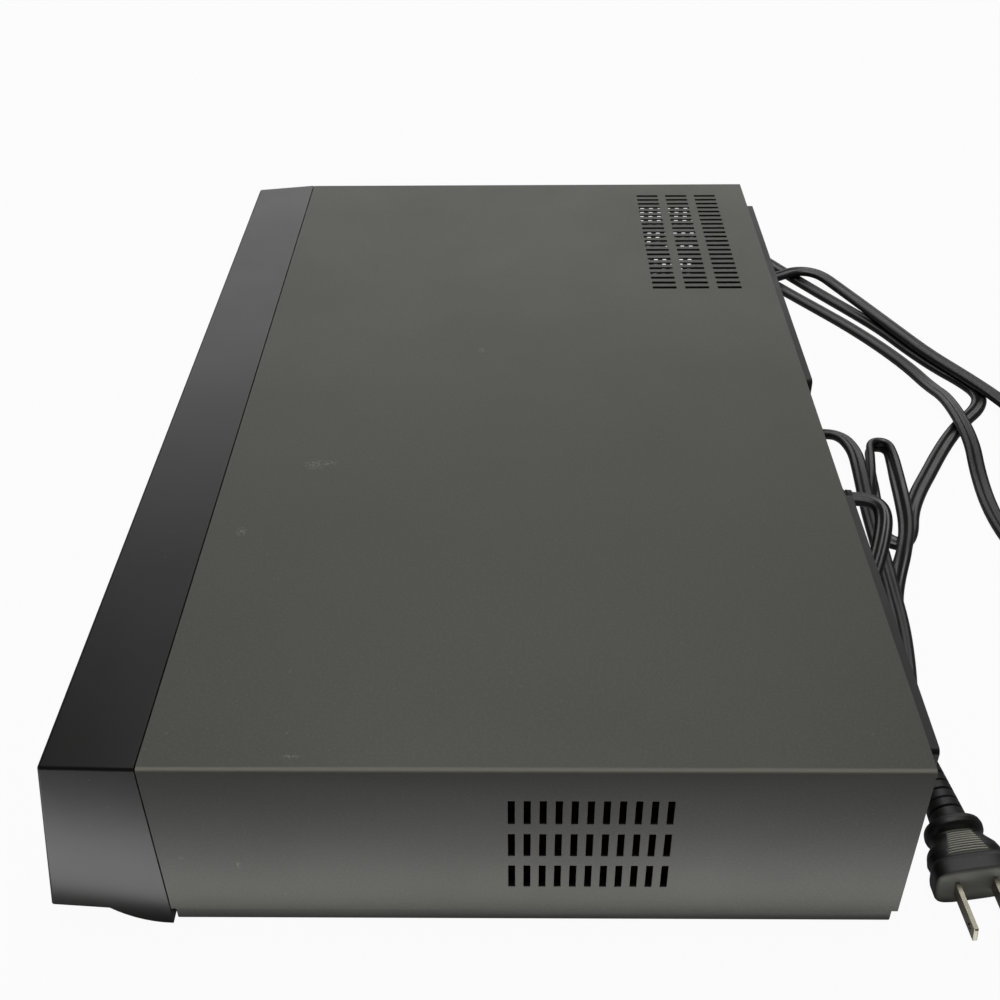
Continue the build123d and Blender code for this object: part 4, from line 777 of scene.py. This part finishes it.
def lead_rings(path, profile, roll):
    """Profile carried along the path: each ring stands square to the path at
    point + x (side cos(roll) + rise sin(roll)) + y (rise cos(roll) - side sin(roll)),
    where the side is level with the floor."""
    tangent = np.gradient(path, axis=0)
    tangent /= np.linalg.norm(tangent, axis=1)[:, None]
    side = np.cross(tangent, (0.0, 0.0, 1.0))
    side /= np.linalg.norm(side, axis=1)[:, None]
    rise = np.cross(side, tangent)
    turn = np.radians(roll)[:, None]
    across = np.cos(turn) * side + np.sin(turn) * rise
    above = -np.sin(turn) * side + np.cos(turn) * rise
    return (path[:, None] + profile[None, :, :1] * across[:, None]
            + profile[None, :, 1:] * above[:, None])


class PLAYER_OT_cord(bpy.types.Operator):
    """Makes the flat mains lead along its route"""
    bl_idname = "player.cord"
    bl_label = "Mains Cord"

    def execute(self, context):
        props = context.scene.player_cord
        curve = route_curve()
        path = path_points(curve)
        bpy.data.objects.remove(curve)
        travelled = np.r_[0, np.cumsum(np.linalg.norm(np.diff(path, axis=0), axis=1))]
        keys = sorted(ROLLS)
        at = [travelled[np.linalg.norm(path - np.array(ROUTE[k]) * MM, axis=1).argmin()]
              for k in keys]
        roll = np.interp(travelled, at, [ROLLS[k] for k in keys])
        rings = lead_rings(path, lead_profile(props.width, props.thickness), roll)
        cord = orient(skinned("power_cord_lead", rings))
        cord.data.shade_smooth()
        sharpen(cord, LEAD_DEGREES)
        settle(cord, "power_cord", FINISHES["sheath"])
        return {"FINISHED"}


class PLAYER_OT_case(bpy.types.Operator):
    """Finishes the cover, the front, the chassis and the rear panel"""
    bl_idname = "player.case"
    bl_label = "Case"

    def execute(self, context):
        edge = context.scene.player_case.soft_edge
        refined("top_cover", FINISHES["cover_paint"], edge)
        refined("front_panel", FINISHES["front_plastic"], edge * 1.5, angle=FRONT_DEGREES)
        refined("tray_door", FINISHES["front_plastic"], edge)
        refined("display_window", FINISHES["window"], edge)
        refined("bottom_chassis", FINISHES["pan_paint"], edge)
        refined("rear_panel", FINISHES["rear_paint"], edge)
        for node in frame["nodes"]:
            if node.endswith("_button"):
                refined(node, FINISHES["front_plastic"], edge)
        dress(["feet"], FINISHES["rubber"])
        dress(["cover_screws", "rear_screws"], FINISHES["black_screw"])
        return {"FINISHED"}


class PLAYER_OT_sockets(bpy.types.Operator):
    """Finishes the rear sockets and the strain relief"""
    bl_idname = "player.sockets"
    bl_label = "Rear Sockets"

    def execute(self, context):
        dress(["jack_block", "s_video_jack"], FINISHES["dark_mould"])
        dress(["jack_sleeves"], FINISHES["nickel"])
        for colour in RING_COLOURS:
            dress([colour + ("_jack_rings" if colour == "red" else "_jack_ring")], FINISHES[colour])
        dress(["cord_relief"], FINISHES["relief"])
        return {"FINISHED"}


# ---- The plug, in millimetres ----

# The middle of its face; its turn about the vertical, dip and roll
PLUG_FACE = (204.0, 163.0, 10.45)
PLUG_TURN = (radians(4.5), radians(1.0), radians(7.0))
# How far back it goes, and where its ringed relief starts; the steps between sections before and
# after that
PLUG_LENGTH = 57.0
RELIEF_BACK = 24.5
BODY_STEP = 0.15
RELIEF_STEP = 0.22
# The relief's rings, the width and edge of the grooves between them, and how much they narrow it
RELIEF_RINGS = 8
GROOVE_WIDTH = 0.9
GROOVE_EDGE = 0.25
GROOVE_SHRINK = 0.2
# The stations are read every step and smoothed over a number of steps
SMOOTH_STEP = 0.05
SMOOTH_COUNT = 13
# Distance back from the face, half width, half height and squareness of the section there
PLUG_STATIONS = np.array([
    (0.0, 12.3, 7.9, 4.6), (0.5, 13.1, 8.7, 4.6), (1.2, 13.45, 8.95, 4.4),
    (5.4, 13.45, 8.95, 4.2), (6.6, 13.2, 8.7, 4.0), (7.5, 12.2, 8.1, 3.4),
    (8.3, 12.1, 7.9, 3.0), (11.0, 12.7, 7.8, 2.7), (13.5, 12.0, 7.3, 2.6),
    (16.0, 10.0, 6.6, 2.6), (18.0, 8.9, 6.1, 2.5), (18.8, 9.0, 6.2, 2.4),
    (19.4, 9.3, 7.8, 2.3), (20.2, 10.0, 8.9, 2.2), (21.6, 10.2, 9.3, 2.2),
    (23.2, 9.9, 8.9, 2.2), (24.1, 8.7, 8.0, 2.1), (24.6, 6.8, 6.7, 2.0),
    (25.2, 6.6, 6.6, 2.0), (57.0, 4.4, 4.4, 2.0),
])
# The grip: where it starts and stops, its half width at each, and how soft its border is
GRIP = (8.4, 17.9, 6.9, 4.3)
GRIP_EDGE = 0.5
GRIP_SUNK = 0.5
RIBS = 9
RIB_RISE = 0.75
# How much painted highlight the rib crests get, how greyed the face is, and how far back the face's
# grey goes
RIB_HIGHLIGHT = 0.95
FACE_WORN = 0.3
FACE_FADE = 0.9


def plug_axes():
    """The plug's own across, up and forward directions: forward is turned and dipped, and the other
    two are rolled about it."""
    turn, dip, roll = PLUG_TURN
    forward = np.array((cos(turn) * cos(dip), sin(turn) * cos(dip), -sin(dip)))
    level = np.array((-sin(turn), cos(turn), 0.0))
    across = level * cos(roll) + np.cross(forward, level) * sin(roll)
    return across, np.cross(forward, across), forward


def plug_surface(columns=144):
    """The plug as a grid over the distance back b and the angle t, with a mask of its grey places:
    the worn face and a painted highlight on the crests of the grip's ribs.
    Its section is a superellipse, with half width w, half height h and squareness n read from the
    stations and smoothed along b: across = w cos(t)|cos(t)|^(2/n - 1) and
    up = h sin(t)|sin(t)|^(2/n - 1). The grip is sunk and ribbed by a cosine of b inside a tapering
    field, and the relief is narrowed by a groove at every pitch."""
    fine = np.arange(0, PLUG_LENGTH + SMOOTH_STEP / 5, SMOOTH_STEP)
    kernel = np.hanning(SMOOTH_COUNT)
    kernel /= kernel.sum()
    stations = PLUG_STATIONS.T
    table = [np.convolve(np.pad(np.interp(fine, stations[0], column), SMOOTH_COUNT // 2, "edge"),
                         kernel, "valid") for column in stations[1:]]
    back = np.r_[np.arange(0, RELIEF_BACK, BODY_STEP),
                 np.arange(RELIEF_BACK, PLUG_LENGTH, RELIEF_STEP), PLUG_LENGTH]
    w, h, n = (np.interp(back, fine, column)[:, None] for column in table)
    pitch = (PLUG_LENGTH - RELIEF_BACK) / RELIEF_RINGS
    phase = np.mod(back - RELIEF_BACK, pitch)[:, None]
    groove = np.clip(np.minimum(phase, GROOVE_WIDTH - phase) / GROOVE_EDGE, 0, 1)
    shrink = 1 - GROOVE_SHRINK * groove * (back[:, None] > RELIEF_BACK + 1)
    angle = np.linspace(0, 2 * np.pi, columns, endpoint=False)[None]
    power = 2 / n
    across = w * shrink * np.sign(np.cos(angle)) * np.abs(np.cos(angle)) ** power
    up = h * shrink * np.sign(np.sin(angle)) * np.abs(np.sin(angle)) ** power
    near, far, wide, narrow = GRIP
    along = (back[:, None] - near) / (far - near)
    reach = wide + (narrow - wide) * np.clip(along, 0, 1)
    inside = (np.clip((reach - np.abs(across)) / GRIP_EDGE, 0, 1)
              * np.clip((back[:, None] - near) / GRIP_EDGE + 1, 0, 1)
              * np.clip((far - back[:, None]) / GRIP_EDGE + 1, 0, 1))
    rib = (0.5 - 0.5 * np.cos(2 * np.pi * RIBS * along)) * inside
    up = up + np.sign(up) * (RIB_RISE * rib - GRIP_SUNK * inside)
    side, rise, forward = plug_axes()
    points = (np.array(PLUG_FACE) - back[:, None, None] * forward
              + across[..., None] * side + up[..., None] * rise)
    face = np.clip(1 - back / FACE_FADE, 0, 1)[:, None] * np.ones_like(angle)
    # The grey mask: a painted highlight on the rib crests, and the face's wear
    return points * MM, np.clip(RIB_HIGHLIGHT * rib + FACE_WORN * face, 0, 1)


class PLAYER_OT_plug(bpy.types.Operator):
    """Makes the moulded plug and finishes its blades"""
    bl_idname = "player.plug"
    bl_label = "Plug"

    def execute(self, context):
        rings, worn_and_highlight = plug_surface()
        plug = skinned("plug_moulding", rings)
        # The worn face and the painted highlight on the rib crests, as a mask on the points
        mask = plug.data.attributes.new("worn_and_highlight", "FLOAT", "POINT")
        ends = (worn_and_highlight[0].mean(), 0.0)
        mask.data.foreach_set("value", np.r_[worn_and_highlight.ravel(), ends].astype(np.float32))
        plug = orient(plug)
        plug.data.shade_smooth()
        settle(plug, "plug_body", FINISHES["plug"])
        dress(["plug_blades"], FINISHES["blade"])
        return {"FINISHED"}


class PLAYER_OT_inside(bpy.types.Operator):
    """Finishes the boards, the loader, the traverse and the small parts inside"""
    bl_idname = "player.inside"
    bl_label = "Inside"

    def execute(self, context):
        for finish_name, nodes in INSIDE.items():
            dress(nodes, FINISHES[finish_name])
        return {"FINISHED"}


INSIDE = {
    "board": ["power_board", "main_board", "display_board"],
    "chip": ["main_chips"],
    "ferrite": ["power_transformer"],
    "can": ["capacitors"],
    "fins": ["heat_sink"],
    "copper_wire": ["line_filter"],
    "ribbon": ["loader_cable"],
    "tube": ["display_tube"],
    "switch": ["tact_switches"],
    "steel_screw": ["standoffs", "board_screws", "loader_screws"],
    "dark_mould": ["loader_frame", "turntable"],
    "plated_sheet": ["clamp_bridge", "traverse_frame"],
    "clamper": ["clamper"],
    "motor_can": ["tray_motor", "spindle_motor", "sled_motor"],
    "white_gear": ["motor_pulley", "pulley_gear", "tray_gear", "sled_motor_gear", "sled_gear"],
    "belt": ["drive_belt"],
    "tray_mould": ["disc_tray"],
    "nickel": ["guide_rods"],
    "pickup": ["optical_pickup"],
    "lens": ["objective_lens"],
}


def aim(piece, place, target):
    """Puts a lamp at a place, pointing at a target."""
    piece.location = place
    piece.rotation_euler = (Vector(target) - Vector(place)).to_track_quat("-Z", "Y").to_euler()


def softbox(name, place, target, width, height, power):
    """A rectangular soft lamp."""
    data = bpy.data.lights.new(name, "AREA")
    data.shape = "RECTANGLE"
    data.size = width
    data.size_y = height
    data.energy = power
    lamp = bpy.data.objects.new(name, data)
    lamp.visible_camera = False
    bpy.context.scene.collection.objects.link(lamp)
    aim(lamp, place, target)
    return lamp


# Lamps: name, place, target, width, height, and power as a share of the stage's own
LAMPS = [
    ("overhead", (-0.3, 0.0, 1.8), (0, 0, 0.05), 1.2, 1.4, 1.0),
    ("far side", (-2.3, 0.0, 1.12), (0, 0, 0.05), 3.2, 1.2, 1.0),
    ("low strip", (0.238, 0.0, 0.003), (0.238, 0.0, 1.0), 0.03, 0.42, 0.0055),
]
# The floor: its own shade, its glow, the glow's share to the camera, and of that in gloss
FLOOR_SHADE = (0.3, 0.3, 0.3, 1)
FLOOR_GLOW = 1.06
GLOW_SHARE = 0.9
GLOSS_SHARE = 0.08
# The world's strength for light, and to the camera
WORLD_LIGHT = 0.06
WORLD_SEEN = 1.0
WHITE = (1, 1, 1, 1)


def seen_white(g, share):
    """How much of a surface's shade is plain white to the camera, and in gloss and glass."""
    path = g.tree.nodes.new("ShaderNodeLightPath")
    seen = g.math("MAXIMUM", path.outputs["Is Camera Ray"], path.outputs["Is Transmission Ray"])
    seen = g.math("MAXIMUM", seen, g.math("MULTIPLY", path.outputs["Is Glossy Ray"], GLOSS_SHARE))
    return g.math("MULTIPLY", seen, share)


class PLAYER_OT_stage(bpy.types.Operator):
    """Makes the floor, the lamps, the world and the camera"""
    bl_idname = "player.stage"
    bl_label = "Stage"

    def execute(self, context):
        props = context.scene.player_stage
        scene = context.scene
        half = props.floor_size / 2
        corners = [(-half, -half, 0), (half, -half, 0), (half, half, 0), (-half, half, 0)]
        floor = make_mesh("floor", corners, [(0, 1, 2, 3)], smooth=False)
        material, g, shader, _ = new_material("White floor")
        shader.inputs["Base Color"].default_value = FLOOR_SHADE
        shader.inputs["Roughness"].default_value = 0.9
        shader.inputs["Specular IOR Level"].default_value = 0.1
        glow = g.add("ShaderNodeEmission")
        glow.inputs["Color"].default_value = WHITE
        glow.inputs["Strength"].default_value = FLOOR_GLOW
        blend = g.add("ShaderNodeMixShader")
        g.join(seen_white(g, GLOW_SHARE), blend.inputs[0])
        g.join(shader.outputs[0], blend.inputs[1])
        g.join(glow.outputs[0], blend.inputs[2])
        g.join(blend.outputs[0], g.tree.nodes["Material Output"].inputs["Surface"])
        floor.data.materials.append(material)
        for name, place, target, width, height, share in LAMPS:
            softbox(name, place, target, width, height, props.lamp * share)
        world = bpy.data.worlds.new("Studio")
        scene.world = world
        world.use_nodes = True
        w = Graph(world.node_tree)
        background = world.node_tree.nodes["Background"]
        path = world.node_tree.nodes.new("ShaderNodeLightPath")
        w.join(w.ramp(path.outputs["Is Camera Ray"], 0, 1, WORLD_LIGHT, WORLD_SEEN),
               background.inputs["Strength"])
        background.inputs["Color"].default_value = WHITE
        data = bpy.data.cameras.new("photo_view")
        data.lens = props.lens
        data.sensor_width = SENSOR_WIDTH
        data.clip_start, data.clip_end = CLIP_RANGE
        camera = bpy.data.objects.new("photo_view", data)
        scene.collection.objects.link(camera)
        camera.matrix_world = camera_matrix()
        scene.camera = camera
        scene.view_settings.view_transform = "Standard"
        return {"FINISHED"}


# The camera: its sensor's width in millimetres, its clipping in metres, its place in metres, and
# how far it is tipped down, turned and tilted, in degrees
SENSOR_WIDTH = 36
CLIP_RANGE = (0.01, 100)
CAMERA_PLACE = (0.4740, 0.00958, 0.37625)
CAMERA_TURNS = (37.004, 1.018, -0.652)


def camera_matrix():
    """The camera looks along -X, tipped down, with a small turn and tilt."""
    down, turn, tilt = (radians(angle) for angle in CAMERA_TURNS)
    level = Vector((-cos(turn), -sin(turn), 0))
    right = Vector((-sin(turn), cos(turn), 0))
    up = Vector((0, 0, 1))
    view = level * cos(down) - up * sin(down)
    above = level * sin(down) + up * cos(down)
    across = right * cos(tilt) + above * sin(tilt)
    upright = above * cos(tilt) - right * sin(tilt)
    basis = Matrix((across, upright, -view)).transposed()
    return Matrix.Translation(CAMERA_PLACE) @ basis.to_4x4()


class PLAYER_PT_panel(bpy.types.Panel):
    """Lists the sizes, colours and operators"""
    bl_label = "Disc Player"
    bl_idname = "PLAYER_PT_panel"
    bl_space_type = "VIEW_3D"
    bl_region_type = "UI"
    bl_category = "Player"

    def draw(self, context):
        column = self.layout.column()
        scene = context.scene
        for group in (scene.player_case, scene.player_cord, scene.player_stage):
            for name in group.__annotations__:
                column.prop(group, name)
        for step in STEPS:
            column.operator(step.bl_idname)


STEPS = (PLAYER_OT_stage, PLAYER_OT_plug, PLAYER_OT_cord, PLAYER_OT_case, PLAYER_OT_sockets,
         PLAYER_OT_inside)
CLASSES = (CaseProperties, CordProperties, StageProperties, *STEPS, PLAYER_PT_panel)
FINISHES = {}


def register():
    for item in CLASSES:
        bpy.utils.register_class(item)
    bpy.types.Scene.player_case = bpy.props.PointerProperty(type=CaseProperties)
    bpy.types.Scene.player_cord = bpy.props.PointerProperty(type=CordProperties)
    bpy.types.Scene.player_stage = bpy.props.PointerProperty(type=StageProperties)


def unregister():
    del bpy.types.Scene.player_stage
    del bpy.types.Scene.player_cord
    del bpy.types.Scene.player_case
    for item in reversed(CLASSES):
        bpy.utils.unregister_class(item)


def main():
    register()
    FINISHES.update(make_finishes())
    bpy.ops.player.stage()
    bpy.ops.player.plug()
    bpy.ops.player.cord()
    bpy.ops.player.case()
    bpy.ops.player.sockets()
    bpy.ops.player.inside()


if __name__ == "__main__":
    main()
